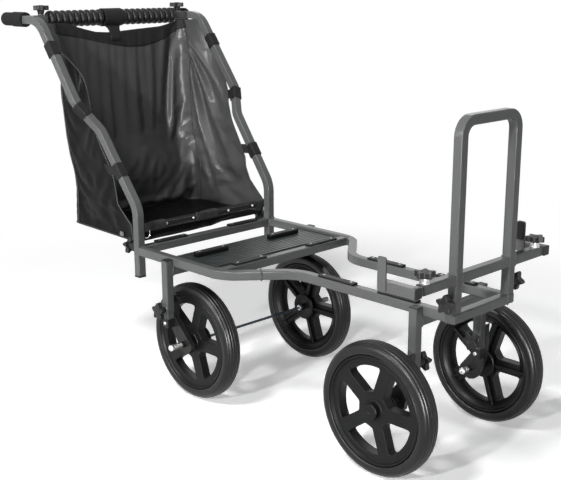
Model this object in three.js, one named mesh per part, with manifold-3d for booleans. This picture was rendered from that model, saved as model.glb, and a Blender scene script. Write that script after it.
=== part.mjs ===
import * as THREE from 'three';
import { mergeVertices } from 'three/addons/utils/BufferGeometryUtils.js';
import Module from 'manifold-3d';

// Four-wheel fishing trolley: a welded frame of square tube, four wheels on sliding legs, a hoop with
// two retainer arms at the nose, and a push handle at the back that carries a ripstop bag.
// Millimetres. +X runs towards the nose, +Z up, and the frame is mirrored about Y = 0.
// Lengths "behind the nose" are measured back from the front face of the nose bar.

// Square tube stock and clearances
const tube = 25;
const tubeWall = 2;
const tubeCorner = 2.4;
const seam = 0.3;
const slideGap = 0.3;
const runGap = 0.35;
const overrun = 4;

// Deck frame
const railTop = 413;
const deckLength = 1040;
const deckHalfRear = 274.7;
const deckHalfFront = 121.6;
const swanRadius = 93;
const socketTop = 440;
const socketBottom = 320;
const socketPlug = 6;
const plugBevel = 3;
const panelDrop = 8;
const panelThick = 12;
const panelGroove = 3;
const panelGrooveDepth = 2.5;
const panelGrooves = 11;
const ventRadius = 3;

// Places along the deck, as shares of its length behind the nose
const deckShares = {
  frontPost: 0.10144,
  swanFront: 0.50817,
  swanRear: 0.63173,
  crossbarFront: 0.64135,
  panelFront: 0.69712,
  rearPost: 0.83221,
  panelRear: 0.85769,
};
const frontPostBehind = deckShares.frontPost * deckLength;
const swanFrontBehind = deckShares.swanFront * deckLength;
const swanRearBehind = deckShares.swanRear * deckLength;
const crossbarFrontBehind = deckShares.crossbarFront * deckLength;
const panelFrontBehind = deckShares.panelFront * deckLength;
const rearPostBehind = deckShares.rearPost * deckLength;
const panelRearBehind = deckShares.panelRear * deckLength;

// Rubber deck pads
const padLength = 116;
const padWidth = 21;
const padHeight = 6;
const padBevel = 2;
const padAcrossShare = 0.5242;
const railPadLength = 122;
const panelPadShare = 0.7006;
const railPadShares = { near: [0.36635, 0.17115], far: [0.38462, 0.15865] };

// The wheels stand on the ground, so the axles are a wheel's radius above it
const wheelRadius = 168.5;
const axleHeight = wheelRadius;

// Wheel posts and legs
const rearPostTop = 409;
const frontPostTop = 412;
const postBottom = 237;
const legReach = 120;
const legPlateThick = 16;
const legPlateTop = 302;
const legPlateSlope = 20;
const legLugDrop = 26;
const legBossRadius = 31;
const legBossSides = 6;
const rearLegReach = 51.2;
const frontLegReach = 33.5;
const rearAxleBehind = rearPostBehind - rearLegReach;
const frontAxleBehind = frontPostBehind + frontLegReach;
const axleRadius = 8;
const axleShoulderRadius = 13;
const sleeveRadius = 9;
const sleeveLength = 11;
const rearAxleInset = 34;
const tieRodRadius = 4;
const tieNutRadius = 9;
const tieNutLength = 10;

// Plungers that lock the axles
const plungerRadius = 3.5;
const plungerNeckRadius = 5.25;
const plungerDepth = 20;
const plungerBallRadius = 9.5;
const rearBallReach = 45;
const frontBallReach = 30;

// Wheels
const tyreWidth = 53;
const tyreSeat = 139;
const rearWheelInset = 45.7;
const frontWheelOutset = 102.1;
const rearWheelHalf = deckHalfRear - rearWheelInset;
const frontWheelHalf = deckHalfFront + frontWheelOutset;
const rearAxleEnd = rearWheelHalf - rearAxleInset;
const treadGroove = 2;
const treadWidth = 30;
const treadGrooves = 2;
const wheelSegments = 28;
const rimWidth = 48;
const rimLip = 5;
const rimBand = 14;
const spokeCount = 5;
const spokeHalf = 17;
const spokeFaceIn = 5;
const spokeDepth = 27;
const windowInner = 50;
const windowOuter = 112;
const windowCorner = 12;
const hubRadius = 26;
const hubFlangeRadius = 40;
const hubFlangeThick = 6;
const hubCapRadius = 21;
const hubCapHeight = 9;

// Star knobs
const starTip = 25;
const starWaist = 15.5;
const starThick = 14;
const hubSides = 16;
const starLobes = 5;
const knobBossRadius = 9;
const knobStandoff = 15;
const baseKnobStandoff = 24;
const studRadius = 4;
const studSides = 8;
const postKnobHeight = 265;
const baseKnobHeight = 408;
const hoopKnobHeight = 440;

// Hoop and retainer arms
const hoopTop = 874;
const hoopCornerRadius = 37.5;
const hoopSpigot = 62;
const hoopBarBottom = 484;
const hoopBarHalf = 240;
const armKnobHalf = 225;
const armFront = 3.7;
const armCap = 8;
const armStubEnd = 135;
const plateThick = 3;
const plateWidth = 25;
const plateCorner = 6.25;
const armPadThick = 3.4;
const armPadInset = 2;
const armPadHeight = 46;
const nearArm = { side: -1, inner: 252.5, length: 104, plateBehind: 104, plateTop: 567, outside: 1 };
const farArm = { side: 1, inner: 244, length: 78, plateBehind: 78, plateTop: 565, outside: -1 };

// Push handle
const handleKneeRise = 85;
const handleKneeRadius = 80;
const handleSetback = 391.8;
const splayLowOutset = 7.8;
const handleTopHalf = 312.5;
const splayRadius = 70;
const handleTop = 1065;
const handleTopRadius = 80;
const handleEndSetback = 188.7;
const neckLength = 112;
const neckRoot = 20;
const bendSteps = 4;
const barSocketSetback = 64.7;
const barSocketReach = 62.5;
const barSocketEnd = handleTopHalf - barSocketReach;
const barKnobInset = 16.8;
const pushBarRadius = 10.2;
const pushBarInset = 27.5;
const pushBarHalf = handleTopHalf - pushBarInset;
const gripRib = 17;
const gripGroove = 13.2;
const gripInset = 4;
const gripHalf = barSocketEnd - gripInset;
const gripBandHalf = 14;
const gripBandRadius = 18.5;
const gripBandEase = 1.65;
const gripRibs = 8;
const gripSides = 8;
const foamRadius = 19;
const foamLength = 97;
const foamEnd = 6;
const collarRadius = 22.5;
const collarLength = 53;
const foamSides = 16;

// Heights on the handle are shares of the way from the socket's top to the handle's top
const splayLowShare = 0.4768;
const splayHighShare = 0.5984;
const strapShares = [[0.2704, 0.3264], [0.5472, 0.5952], [0.8128, 0.8736]];
const handleLevel = (share) => socketTop + share * (handleTop - socketTop);
const handleKneeHeight = socketTop + handleKneeRise;
const handleTopLine = handleTop - tube / 2;
const handleTopBehind = deckLength - tube / 2 + handleSetback;
const barSocketBehind = handleTopBehind + barSocketSetback;
const handleEndBehind = handleTopBehind + handleEndSetback;

// Bag. Its foot stands behind the deck's end and its sides hang behind the handle, and a depth is the
// distance from its front to its back at that level.
const bagWall = 5;
const bagFloor = 438;
const bagFloorDepth = 234;
const bagSill = 472;
const bagSillDepth = 266;
const bagSillSetback = 16;
const bagGusset = 520;
const bagGussetDepth = 234;
const bagGussetSetback = 84;
const bagKneeDepth = 292.2;
const bagBellyDepth = 256;
const bagChestDepth = 138.3;
const bagTopDepth = 43.9;
const bagFoot = [
  { height: bagFloor, setback: bagSillSetback, depth: bagFloorDepth },
  { height: bagSill, setback: bagSillSetback, depth: bagSillDepth },
  { height: bagGusset, setback: bagGussetSetback, depth: bagGussetDepth },
];
const bagSides = [
  { share: 0.2704, depth: bagKneeDepth },
  { share: 0.4, depth: bagBellyDepth },
  { share: 0.688, depth: bagChestDepth },
  { share: 0.9088, depth: bagTopDepth },
];
const bagLowInset = 6.7;
const bagTopInset = 16.5;
const bagTaperLow = 16;
const bagTaperTop = 18;
const bagLowHalf = deckHalfRear - bagLowInset;
const bagTopHalf = handleTopHalf - bagTopInset;
const bagFrontHalf = { low: bagLowHalf, high: bagTopHalf };
const bagBackHalf = { low: bagLowHalf - bagTaperLow, high: bagTopHalf - bagTaperTop };
const bagCorner = 40;
const bagCornerShare = 0.6;
const bagCornerSteps = 2;
const bagTubeGap = 3.5;
const strapThick = 2.5;
const strapTail = 12;

const wasm = await Module();
wasm.setup();

// A closed triangle mesh becomes a solid that can be joined and cut
function solid(geometry) {
  const bare = geometry.clone();
  for (const name of Object.keys(bare.attributes)) {
    if (name !== 'position') {
      bare.deleteAttribute(name);
    }
  }
  const merged = mergeVertices(bare);
  return new wasm.Manifold(new wasm.Mesh({
    numProp: 3,
    vertProperties: new Float32Array(merged.attributes.position.array),
    triVerts: new Uint32Array(merged.index.array),
  }));
}

function surface(body) {
  const mesh = body.getMesh();
  const geometry = new THREE.BufferGeometry();
  geometry.setAttribute('position', new THREE.BufferAttribute(mesh.vertProperties, mesh.numProp));
  geometry.setIndex(new THREE.BufferAttribute(mesh.triVerts, 1));
  return geometry;
}

function join(...geometries) {
  let body = solid(geometries[0]);
  for (const geometry of geometries.slice(1)) {
    body = body.add(solid(geometry));
  }
  return surface(body);
}

function cut(geometry, ...tools) {
  let body = solid(geometry);
  for (const tool of tools) {
    body = body.subtract(solid(tool));
  }
  return surface(body);
}

function indexed(points, faces) {
  const geometry = new THREE.BufferGeometry();
  geometry.setAttribute('position', new THREE.Float32BufferAttribute(points.flatMap((p) => [p.x, p.y, p.z]), 3));
  geometry.setIndex(faces);
  return geometry;
}

// Solid through convex rings of points, each ring anticlockwise seen from beyond the last one
function loft(rings) {
  const points = rings.flat();
  const count = rings[0].length;
  const last = points.length - count;
  const faces = [];
  for (let start = 0; start < last; start += count) {
    rings[0].forEach((_, j) => {
      const a = start + j;
      const b = start + (j + 1) % count;
      faces.push(a, b, b + count, a, b + count, a + count);
    });
  }
  for (let j = 1; j < count - 1; j++) {
    faces.push(0, j + 1, j, last, last + j, last + j + 1);
  }
  return indexed(points, faces);
}

// Eight-point outline of a square tube, with its rounded corners as bevels
function squareSection(width, corner) {
  const half = width / 2;
  const flat = half - corner;
  return [
    [half, -flat], [half, flat], [flat, half], [-flat, half],
    [-half, flat], [-half, -flat], [-flat, -half], [flat, -half],
  ];
}

// Corners of a square bore, each behind one bevel of the section around it
function squareBore(width) {
  const half = width / 2;
  return [[half, half], [-half, half], [-half, -half], [half, -half]];
}

// A section swept through stations, each a point with the tube's direction there. The section's
// first axis follows the reference direction, and a bore leaves the tube open at both ends.
function sweep(stations, reference, section, bore = []) {
  const points = [];
  const faces = [];
  const quad = (a, b, c, d) => faces.push(a, b, c, a, c, d);
  const count = section.length;
  const stride = count + bore.length;
  for (const { point: centre, along } of stations) {
    const side = reference.clone().addScaledVector(along, -reference.dot(along)).normalize();
    const up = along.clone().cross(side);
    for (const [a, b] of [...section, ...bore]) {
      points.push(centre.clone().addScaledVector(side, a).addScaledVector(up, b));
    }
  }
  const last = (stations.length - 1) * stride;
  for (let start = 0; start < last; start += stride) {
    section.forEach((_, j) => {
      const a = start + j;
      const b = start + (j + 1) % count;
      quad(a, b, b + stride, a + stride);
    });
    bore.forEach((_, k) => {
      const a = start + count + k;
      const b = start + count + (k + 1) % bore.length;
      quad(b, a, a + stride, b + stride);
    });
  }
  for (let j = 1; j < count - 1 && !bore.length; j++) {
    faces.push(0, j + 1, j, last, last + j, last + j + 1);
  }
  bore.forEach((_, k) => {
    const before = count + (k + bore.length - 1) % bore.length;
    const corner = count + k;
    const [a, b, c] = [2 * k, 2 * k + 1, (2 * k + 2) % count];
    quad(a, before, corner, b);
    faces.push(b, corner, c);
    quad(last + a, last + b, last + corner, last + before);
    faces.push(last + b, last + c, last + corner);
  });
  return indexed(points, faces);
}

// Straight runs between corners, with an arc of the corner's radius at each
function bentPath(corners) {
  const direction = (i) => corners[i + 1].at.clone().sub(corners[i].at).normalize();
  const stations = [{ point: corners[0].at.clone(), along: direction(0) }];
  for (let i = 1; i < corners.length - 1; i++) {
    const before = direction(i - 1);
    const after = direction(i);
    const turn = before.angleTo(after);
    const { at, radius } = corners[i];
    const inward = after.clone().addScaledVector(before, -after.dot(before)).normalize();
    const start = at.clone().addScaledVector(before, -radius * Math.tan(turn / 2));
    const centre = start.clone().addScaledVector(inward, radius);
    for (let step = 0; step <= bendSteps; step++) {
      const angle = turn * step / bendSteps;
      stations.push({
        point: centre.clone()
          .addScaledVector(inward, -radius * Math.cos(angle))
          .addScaledVector(before, radius * Math.sin(angle)),
        along: before.clone().multiplyScalar(Math.cos(angle)).addScaledVector(inward, Math.sin(angle)),
      });
    }
  }
  const end = corners.length - 1;
  stations.push({ point: corners[end].at.clone(), along: direction(end - 1) });
  return stations;
}

const xAxis = new THREE.Vector3(1, 0, 0);
const yAxis = new THREE.Vector3(0, 1, 0);
const zAxis = new THREE.Vector3(0, 0, 1);
const bore = tube - 2 * tubeWall;
const innerTube = bore - 2 * slideGap;
const outerSection = squareSection(tube, tubeCorner);
const boreSection = squareBore(bore);
const innerSection = squareBore(innerTube);

function straight(from, to) {
  const along = to.clone().sub(from).normalize();
  return [{ point: from, along }, { point: to, along }];
}

function squareTube(from, to, hollow = true) {
  const reference = Math.abs(to.y - from.y) > Math.abs(to.x - from.x) + Math.abs(to.z - from.z) ? xAxis : yAxis;
  return sweep(straight(from, to), reference, outerSection, hollow ? boreSection : []);
}

function innerBar(from, to) {
  const reference = Math.abs(to.y - from.y) > Math.abs(to.x - from.x) + Math.abs(to.z - from.z) ? xAxis : yAxis;
  return sweep(straight(from, to), reference, innerSection);
}

function box(low, high) {
  const size = high.clone().sub(low);
  const centre = high.clone().add(low).multiplyScalar(0.5);
  return new THREE.BoxGeometry(size.x, size.y, size.z).translate(centre.x, centre.y, centre.z);
}

// Round bar or hole between two points
function round(from, to, radius, sides) {
  const length = from.distanceTo(to);
  const geometry = new THREE.CylinderGeometry(radius, radius, length, sides);
  geometry.applyQuaternion(new THREE.Quaternion().setFromUnitVectors(yAxis, to.clone().sub(from).normalize()));
  const centre = from.clone().add(to).multiplyScalar(0.5);
  return geometry.translate(centre.x, centre.y, centre.z);
}

// A hole whose flats stay clear of a round piece that turns in it
function clearRadius(radius, gap, sides) {
  return (radius + gap) / Math.cos(Math.PI / sides);
}

function point(x, y, z) {
  return new THREE.Vector3(x, y, z);
}

// Hole that a knob's stud passes through, from just outside a tube face to inside its bore
function studHole(face, outward) {
  const from = face.clone().addScaledVector(outward, overrun);
  const to = face.clone().addScaledVector(outward, -tubeWall - slideGap);
  return round(from, to, clearRadius(studRadius, seam, studSides), studSides);
}

// Outline in the XZ plane given a thickness along Y
function slabAcross(outline, yLow, yHigh) {
  const shape = new THREE.Shape(outline.map(([x, z]) => new THREE.Vector2(x, z)));
  const geometry = new THREE.ExtrudeGeometry(shape, { depth: yHigh - yLow, bevelEnabled: false });
  geometry.rotateX(Math.PI / 2);
  return geometry.translate(0, yHigh, 0);
}

// Materials, with the colours of the finish on each kind of piece
const finishes = {
  frame: new THREE.MeshStandardMaterial({ color: 0x626564, roughness: 0.38, metalness: 0.35 }),
  panel: new THREE.MeshStandardMaterial({ color: 0x2c3230, roughness: 0.45, metalness: 0.3 }),
  plastic: new THREE.MeshStandardMaterial({ color: 0x1c1c1d, roughness: 0.45, metalness: 0 }),
  rubber: new THREE.MeshStandardMaterial({ color: 0x161617, roughness: 0.6, metalness: 0 }),
  tyre: new THREE.MeshStandardMaterial({ color: 0x1b1b1c, roughness: 0.4, metalness: 0 }),
  rim: new THREE.MeshStandardMaterial({ color: 0x242525, roughness: 0.5, metalness: 0 }),
  casting: new THREE.MeshStandardMaterial({ color: 0x151514, roughness: 0.5, metalness: 0.2 }),
  chrome: new THREE.MeshStandardMaterial({ color: 0xc8cacb, roughness: 0.12, metalness: 1 }),
  foam: new THREE.MeshStandardMaterial({ color: 0x121212, roughness: 0.85, metalness: 0 }),
  fabric: new THREE.MeshStandardMaterial({ color: 0x0c0c0d, roughness: 0.35, metalness: 0 }),
};

const trolley = new THREE.Group();

function addPiece(name, geometry, finish) {
  const mesh = new THREE.Mesh(geometry, finishes[finish]);
  mesh.name = name;
  trolley.add(mesh);
  return mesh;
}

const sides = { near: -1, far: 1 };
const railLine = railTop - tube / 2;
const railRearY = deckHalfRear - tube / 2;
const railFrontY = deckHalfFront - tube / 2;
const socketX = -deckLength + tube / 2;

// Deck rail, drawn in from the wide rear to the narrow nose, with the handle socket welded on its end
function railPath(side) {
  return bentPath([
    { at: point(-deckLength + tube - tubeWall / 2, side * railRearY, railLine) },
    { at: point(-swanRearBehind, side * railRearY, railLine), radius: swanRadius },
    { at: point(-swanFrontBehind, side * railFrontY, railLine), radius: swanRadius },
    { at: point(-tube - seam, side * railFrontY, railLine) },
  ]);
}

function rail(side) {
  const y = side * railRearY;
  const socket = squareTube(point(socketX, y, socketBottom + plugBevel), point(socketX, y, socketTop));
  const plug = sweep(
    straight(point(socketX, y, socketBottom + plugBevel), point(socketX, y, socketBottom + socketPlug)),
    yAxis,
    squareSection(tube, tubeCorner),
  );
  const foot = new THREE.CylinderGeometry(
    (tube / 2) * Math.SQRT2,
    (tube / 2 - plugBevel) * Math.SQRT2,
    plugBevel + tubeWall / 2,
    4,
  );
  foot.rotateY(Math.PI / 4);
  foot.rotateX(Math.PI / 2);
  foot.translate(socketX, y, socketBottom + (plugBevel + tubeWall / 2) / 2);
  const bar = sweep(railPath(side), yAxis, outerSection, boreSection);
  const knobFace = point(-deckLength, y, baseKnobHeight);
  return cut(join(socket, plug, foot, bar), studHole(knobFace, xAxis.clone().negate()));
}

// Welded bar with its ends plated, so a small hole underneath lets it breathe
function platedBar(from, to) {
  const along = to.clone().sub(from).normalize();
  const inFrom = from.clone().addScaledVector(along, tubeWall);
  const inTo = to.clone().addScaledVector(along, -tubeWall);
  const hollow = sweep(straight(inFrom, inTo), xAxis, boreSection);
  return cut(squareTube(from, to, false), hollow, ventHole(from.clone().add(to).multiplyScalar(0.5)));
}

function ventHole(centre) {
  const low = centre.clone().addScaledVector(zAxis, -tube / 2 - overrun);
  return round(low, centre, ventRadius, studSides);
}

function noseBar() {
  const x = -tube / 2;
  const bar = platedBar(point(x, -deckHalfFront, railLine), point(x, deckHalfFront, railLine));
  const spigots = Object.values(sides).map((side) => innerBar(
    point(x, side * railFrontY, railTop - tubeWall / 2),
    point(x, side * railFrontY, railTop + hoopSpigot),
  ));
  return join(bar, ...spigots);
}

function rearCrossbar() {
  const end = deckHalfRear - tube - seam;
  return squareTube(point(socketX, -end, railLine), point(socketX, end, railLine));
}

// The front crossbar meets the rails where they have begun to turn, so its ends follow them
function frontCrossbar() {
  const x = -crossbarFrontBehind - tube / 2;
  const bar = squareTube(point(x, -railRearY, railLine), point(x, railRearY, railLine));
  const clearSection = squareSection(tube + 2 * seam, tubeCorner);
  const rails = Object.values(sides).map((side) => sweep(railPath(side), yAxis, clearSection));
  const trimmed = cut(bar, ...rails);
  const keep = box(
    point(x - tube, -railRearY + tube / 2 + seam, railLine - tube),
    point(x + tube, railRearY - tube / 2 - seam, railLine + tube),
  );
  return surface(solid(trimmed).intersect(solid(keep)));
}

// Ribbed footboard between the rails, its grooves running across the deck
function deckPanel() {
  const top = railTop - panelDrop;
  const bottom = top - panelThick;
  const half = deckHalfRear - tube - seam;
  const length = panelRearBehind - panelFrontBehind;
  const pitch = length / (panelGrooves + 1);
  const outline = [[-panelRearBehind, bottom], [-panelFrontBehind, bottom], [-panelFrontBehind, top]];
  for (let i = 1; i <= panelGrooves; i++) {
    const x = -panelFrontBehind - i * pitch;
    outline.push([x + panelGroove / 2, top], [x + panelGroove / 2, top - panelGrooveDepth]);
    outline.push([x - panelGroove / 2, top - panelGrooveDepth], [x - panelGroove / 2, top]);
  }
  outline.push([-panelRearBehind, top]);
  return slabAcross(outline, -half, half);
}

// Axle frame: a bar under the rails with a hollow wheel post welded on each end
function axleFrame({ behind, deckHalf, postTop, knobOutboard }) {
  const barLine = railTop - tube - seam - tube / 2;
  const postY = deckHalf + seam + tube / 2;
  const end = deckHalf + seam + tubeWall / 2;
  const pieces = [squareTube(point(-behind, -end, barLine), point(-behind, end, barLine))];
  const holes = [ventHole(point(-behind, 0, barLine))];
  for (const side of Object.values(sides)) {
    const y = side * postY;
    const post = squareTube(point(-behind, y, postBottom), point(-behind, y, postTop), false);
    const hollow = sweep(
      straight(point(-behind, y, postBottom - overrun), point(-behind, y, postTop - tubeWall)),
      yAxis,
      boreSection,
    );
    pieces.push(cut(post, hollow));
    const outward = yAxis.clone().multiplyScalar(knobOutboard ? side : -side);
    const face = point(-behind, y, postKnobHeight).addScaledVector(outward, tube / 2);
    holes.push(studHole(face, outward));
  }
  return cut(join(...pieces), ...holes);
}

// Rubber strip with bevelled upper edges, lying on a bar along X or across it
function pad(x, y, base, top, length, across) {
  const halfLength = length / 2;
  const halfWidth = padWidth / 2;
  const ring = (inset, z) => [
    [halfLength - inset, halfWidth - inset], [-halfLength + inset, halfWidth - inset],
    [-halfLength + inset, -halfWidth + inset], [halfLength - inset, -halfWidth + inset],
  ].map(([a, b]) => (across ? point(x - b, y + a, z) : point(x + a, y + b, z)));
  return loft([ring(0, base), ring(0, top - padBevel), ring(padBevel, top)]);
}

function addPads() {
  const padTop = railTop + padHeight;
  const rows = {
    rear: { x: socketX, base: railTop + seam },
    panel: { x: -panelFrontBehind - panelPadShare * (panelRearBehind - panelFrontBehind), base: railTop - panelDrop + seam },
    front: { x: -crossbarFrontBehind - tube / 2, base: railTop + seam },
  };
  for (const [sideName, side] of Object.entries(sides)) {
    for (const [rowName, row] of Object.entries(rows)) {
      const geometry = pad(row.x, side * padAcrossShare * deckHalfRear, row.base, padTop, padLength, true);
      addPiece(`pad_${rowName}_${sideName}`, geometry, 'rubber');
    }
    railPadShares[sideName].forEach((share, i) => {
      const geometry = pad(-share * deckLength, side * railFrontY, railTop + seam, padTop, railPadLength, false);
      addPiece(`pad_rail_${sideName}_${i + 1}`, geometry, 'rubber');
    });
  }
}

addPiece('rail_near', rail(sides.near), 'frame');
addPiece('rail_far', rail(sides.far), 'frame');
addPiece('nose_bar', noseBar(), 'frame');
addPiece('crossbar_rear', rearCrossbar(), 'frame');
addPiece('crossbar_front', frontCrossbar(), 'frame');
addPiece('deck_panel', deckPanel(), 'panel');
const rearAxle = {
  behind: rearPostBehind,
  deckHalf: deckHalfRear,
  postTop: rearPostTop,
  knobOutboard: true,
  axleBehind: rearAxleBehind,
  wheelHalf: rearWheelHalf,
  ballReach: rearBallReach,
};
const frontAxle = {
  behind: frontPostBehind,
  deckHalf: deckHalfFront,
  postTop: frontPostTop,
  knobOutboard: false,
  axleBehind: frontAxleBehind,
  wheelHalf: frontWheelHalf,
  ballReach: frontBallReach,
};
addPiece('axle_frame_rear', axleFrame(rearAxle), 'frame');
addPiece('axle_frame_front', axleFrame(frontAxle), 'frame');
addPads();

// Tyre: solid rubber with rounded shoulders and grooves round the tread. Its axis is Y.
function tyre() {
  const half = tyreWidth / 2;
  const height = wheelRadius - tyreSeat;
  const wallShares = [[0, 0.85], [0.4, 1], [0.84, 0.87]];
  const profile = wallShares.map(([rise, spread]) => [tyreSeat + rise * height, -spread * half]);
  const pitch = treadWidth / treadGrooves;
  const tread = [[wheelRadius, -treadWidth / 2]];
  for (let middle = (pitch - treadWidth) / 2; middle < treadWidth / 2; middle += pitch) {
    tread.push([wheelRadius, middle - treadGroove]);
    tread.push([wheelRadius - treadGroove, middle]);
    tread.push([wheelRadius, middle + treadGroove]);
  }
  tread.push([wheelRadius, treadWidth / 2]);
  const back = [...wallShares].reverse();
  const outline = [...profile, ...tread, ...back.map(([rise, spread]) => [tyreSeat + rise * height, spread * half])];
  outline.push(outline[0]);
  return new THREE.LatheGeometry(outline.map(([r, y]) => new THREE.Vector2(r, y)), wheelSegments);
}

// Window between two spokes: a triangle with rounded corners and an outer side that follows the band
function spokeWindow(turn) {
  const half = Math.PI / spokeCount;
  const pitchAt = (radius) => half - Math.asin(spokeHalf / radius);
  const edge = windowOuter - windowCorner;
  const outerAngle = pitchAt(windowOuter) - windowCorner / windowOuter;
  const place = (radius, angle) => {
    const a = turn + angle;
    return new THREE.Vector2(radius * Math.cos(a), radius * Math.sin(a));
  };
  const shoulder = pitchAt(edge);
  const toe = pitchAt(windowInner) / 2;
  const arcShares = [-1, -0.5, 0, 0.5, 1];
  const cornerShare = 0.286;
  const cornerRadius = windowOuter - cornerShare * windowCorner;
  const cornerAngle = shoulder - cornerShare * windowCorner / windowOuter;
  const heel = windowInner + windowCorner / 2;
  const outline = arcShares.map((share) => place(windowOuter, outerAngle * share));
  outline.push(place(cornerRadius, cornerAngle), place(edge, shoulder), place(heel, pitchAt(heel)));
  outline.push(place(windowInner, toe), place(windowInner, -toe));
  outline.push(place(heel, -pitchAt(heel)), place(edge, -shoulder), place(cornerRadius, -cornerAngle));
  return new THREE.Path(outline);
}

// Moulded wheel: tyre band, five deep spokes and a hub. +Y is its outboard face.
function rim(capped) {
  const half = rimWidth / 2;
  const seat = tyreSeat - seam;
  const band = [
    [seat - rimLip, -half], [seat, -half + rimLip / 2], [seat, half - rimLip / 2], [seat - rimLip, half],
    [windowOuter, half - spokeFaceIn], [windowOuter, half - spokeFaceIn - spokeDepth],
  ];
  band.push(band[0]);
  const ring = new THREE.LatheGeometry(band.map(([r, y]) => new THREE.Vector2(r, y)), wheelSegments);
  const disc = new THREE.Shape();
  disc.absarc(0, 0, seat - rimBand, 0, 2 * Math.PI);
  for (let i = 0; i < spokeCount; i++) {
    disc.holes.push(spokeWindow((2 * Math.PI * i) / spokeCount));
  }
  const wheelFace = half - spokeFaceIn;
  const spokes = new THREE.ExtrudeGeometry(disc, { depth: spokeDepth, bevelEnabled: false, curveSegments: wheelSegments / 2 });
  spokes.rotateX(Math.PI / 2);
  spokes.translate(0, wheelFace, 0);
  const cap = capped ? half + hubCapHeight : half;
  const hub = [
    [0, -half], [hubFlangeRadius, -half], [hubFlangeRadius, -half + hubFlangeThick],
    [hubRadius, -half + hubFlangeThick], [hubRadius, half - spokeFaceIn], [hubCapRadius, half - spokeFaceIn],
    [hubCapRadius, cap], [0, cap],
  ];
  const core = new THREE.LatheGeometry(hub.map(([r, y]) => new THREE.Vector2(r, y)), hubSides);
  const boreEnd = capped ? half : half + overrun;
  const axleBore = round(
    point(0, -half - overrun, 0),
    point(0, boreEnd, 0),
    clearRadius(axleRadius, runGap, hubSides),
    hubSides,
  );
  return cut(join(ring, spokes, core), axleBore);
}

// Leg: a bar that slides in the post, a lug under the post, and a plate on the post's wheel side that
// carries the axle. Built for the far side, where Y grows outboard.
function leg(axle) {
  const postInner = axle.deckHalf + seam;
  const postOuter = postInner + tube;
  const wheelSide = axle.knobOutboard ? -1 : 1;
  const face = (wheelSide < 0 ? postInner : postOuter) + wheelSide * seam;
  const back = face + wheelSide * legPlateThick;
  const x = -axle.behind;
  const axleX = -axle.axleBehind;
  const lean = Math.sign(axleX - x);
  const foot = [];
  const spread = Math.PI / legBossSides;
  for (let i = 0; i <= legBossSides; i++) {
    const angle = -i * spread;
    foot.push([axleX + lean * legBossRadius * Math.cos(angle), axleHeight + legBossRadius * Math.sin(angle)]);
  }
  const outline = [
    [x - lean * (tube / 2), legPlateTop],
    [x + lean * (tube / 2), legPlateTop - legPlateSlope],
    [x + lean * (tube / 2), postBottom],
    ...foot,
    [x - lean * (tube / 2), postBottom - legLugDrop],
  ];
  const plate = slabAcross(lean > 0 ? outline.reverse() : outline, Math.min(face, back), Math.max(face, back));
  const lug = box(
    point(x - tube / 2, Math.min(postInner, back) + (wheelSide < 0 ? 0 : seam), postBottom - legLugDrop),
    point(x + tube / 2, Math.max(postOuter, back), postBottom - seam),
  );
  const postY = postInner + tube / 2;
  const bar = innerBar(point(x, postY, postBottom - legLugDrop), point(x, postY, postBottom + legReach));
  const hubFace = axle.wheelHalf - wheelSide * (rimWidth / 2 + seam);
  const axleEnd = wheelSide < 0 ? rearAxleEnd : axle.wheelHalf + rimWidth / 2 - seam;
  const mid = (face + back) / 2;
  const shaft = round(point(axleX, mid, axleHeight), point(axleX, axleEnd, axleHeight), axleRadius, hubSides);
  const shoulder = round(
    point(axleX, mid, axleHeight),
    point(axleX, hubFace, axleHeight),
    axleShoulderRadius,
    hubSides,
  );
  const sleeveEnd = face - wheelSide * sleeveLength;
  const sleeve = round(point(axleX, mid, axleHeight), point(axleX, sleeveEnd, axleHeight), sleeveRadius, hubSides);
  const plungerBore = round(
    point(axleX, sleeveEnd - wheelSide * overrun, axleHeight),
    point(axleX, sleeveEnd + wheelSide * (plungerDepth + overrun), axleHeight),
    clearRadius(plungerRadius, slideGap, studSides),
    studSides,
  );
  return cut(join(plate, lug, bar, shoulder, shaft, sleeve), plungerBore);
}

// Spring plunger with a ball to pull it by. +Y points out of the sleeve, whose mouth is at Y = 0.
function plunger(axle) {
  const ballCentre = axle.ballReach - sleeveLength;
  const pull = plungerBallRadius;
  const outline = [
    [0, -plungerDepth], [plungerRadius, -plungerDepth], [plungerRadius, seam], [plungerNeckRadius, seam],
  ];
  const ballSteps = 6;
  const foot = Math.asin(plungerNeckRadius / pull);
  for (let i = 0; i <= ballSteps; i++) {
    const angle = foot + (Math.PI - foot) * i / ballSteps;
    outline.push([i < ballSteps ? pull * Math.sin(angle) : 0, ballCentre - pull * Math.cos(angle)]);
  }
  return new THREE.LatheGeometry(outline.map(([r, y]) => new THREE.Vector2(r, y)), studSides);
}

// Everything carried by one wheel leg. The near side is the far side turned about the mid plane.
function mirrored(geometry, side) {
  if (side > 0) {
    return geometry;
  }
  const flipped = mergeVertices(bareCopy(geometry)).scale(1, -1, 1);
  const order = flipped.index.array;
  for (let i = 0; i < order.length; i += 3) {
    [order[i], order[i + 1]] = [order[i + 1], order[i]];
  }
  return flipped;
}

function bareCopy(geometry) {
  const copy = geometry.clone();
  copy.deleteAttribute('normal');
  copy.deleteAttribute('uv');
  return copy;
}

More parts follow.
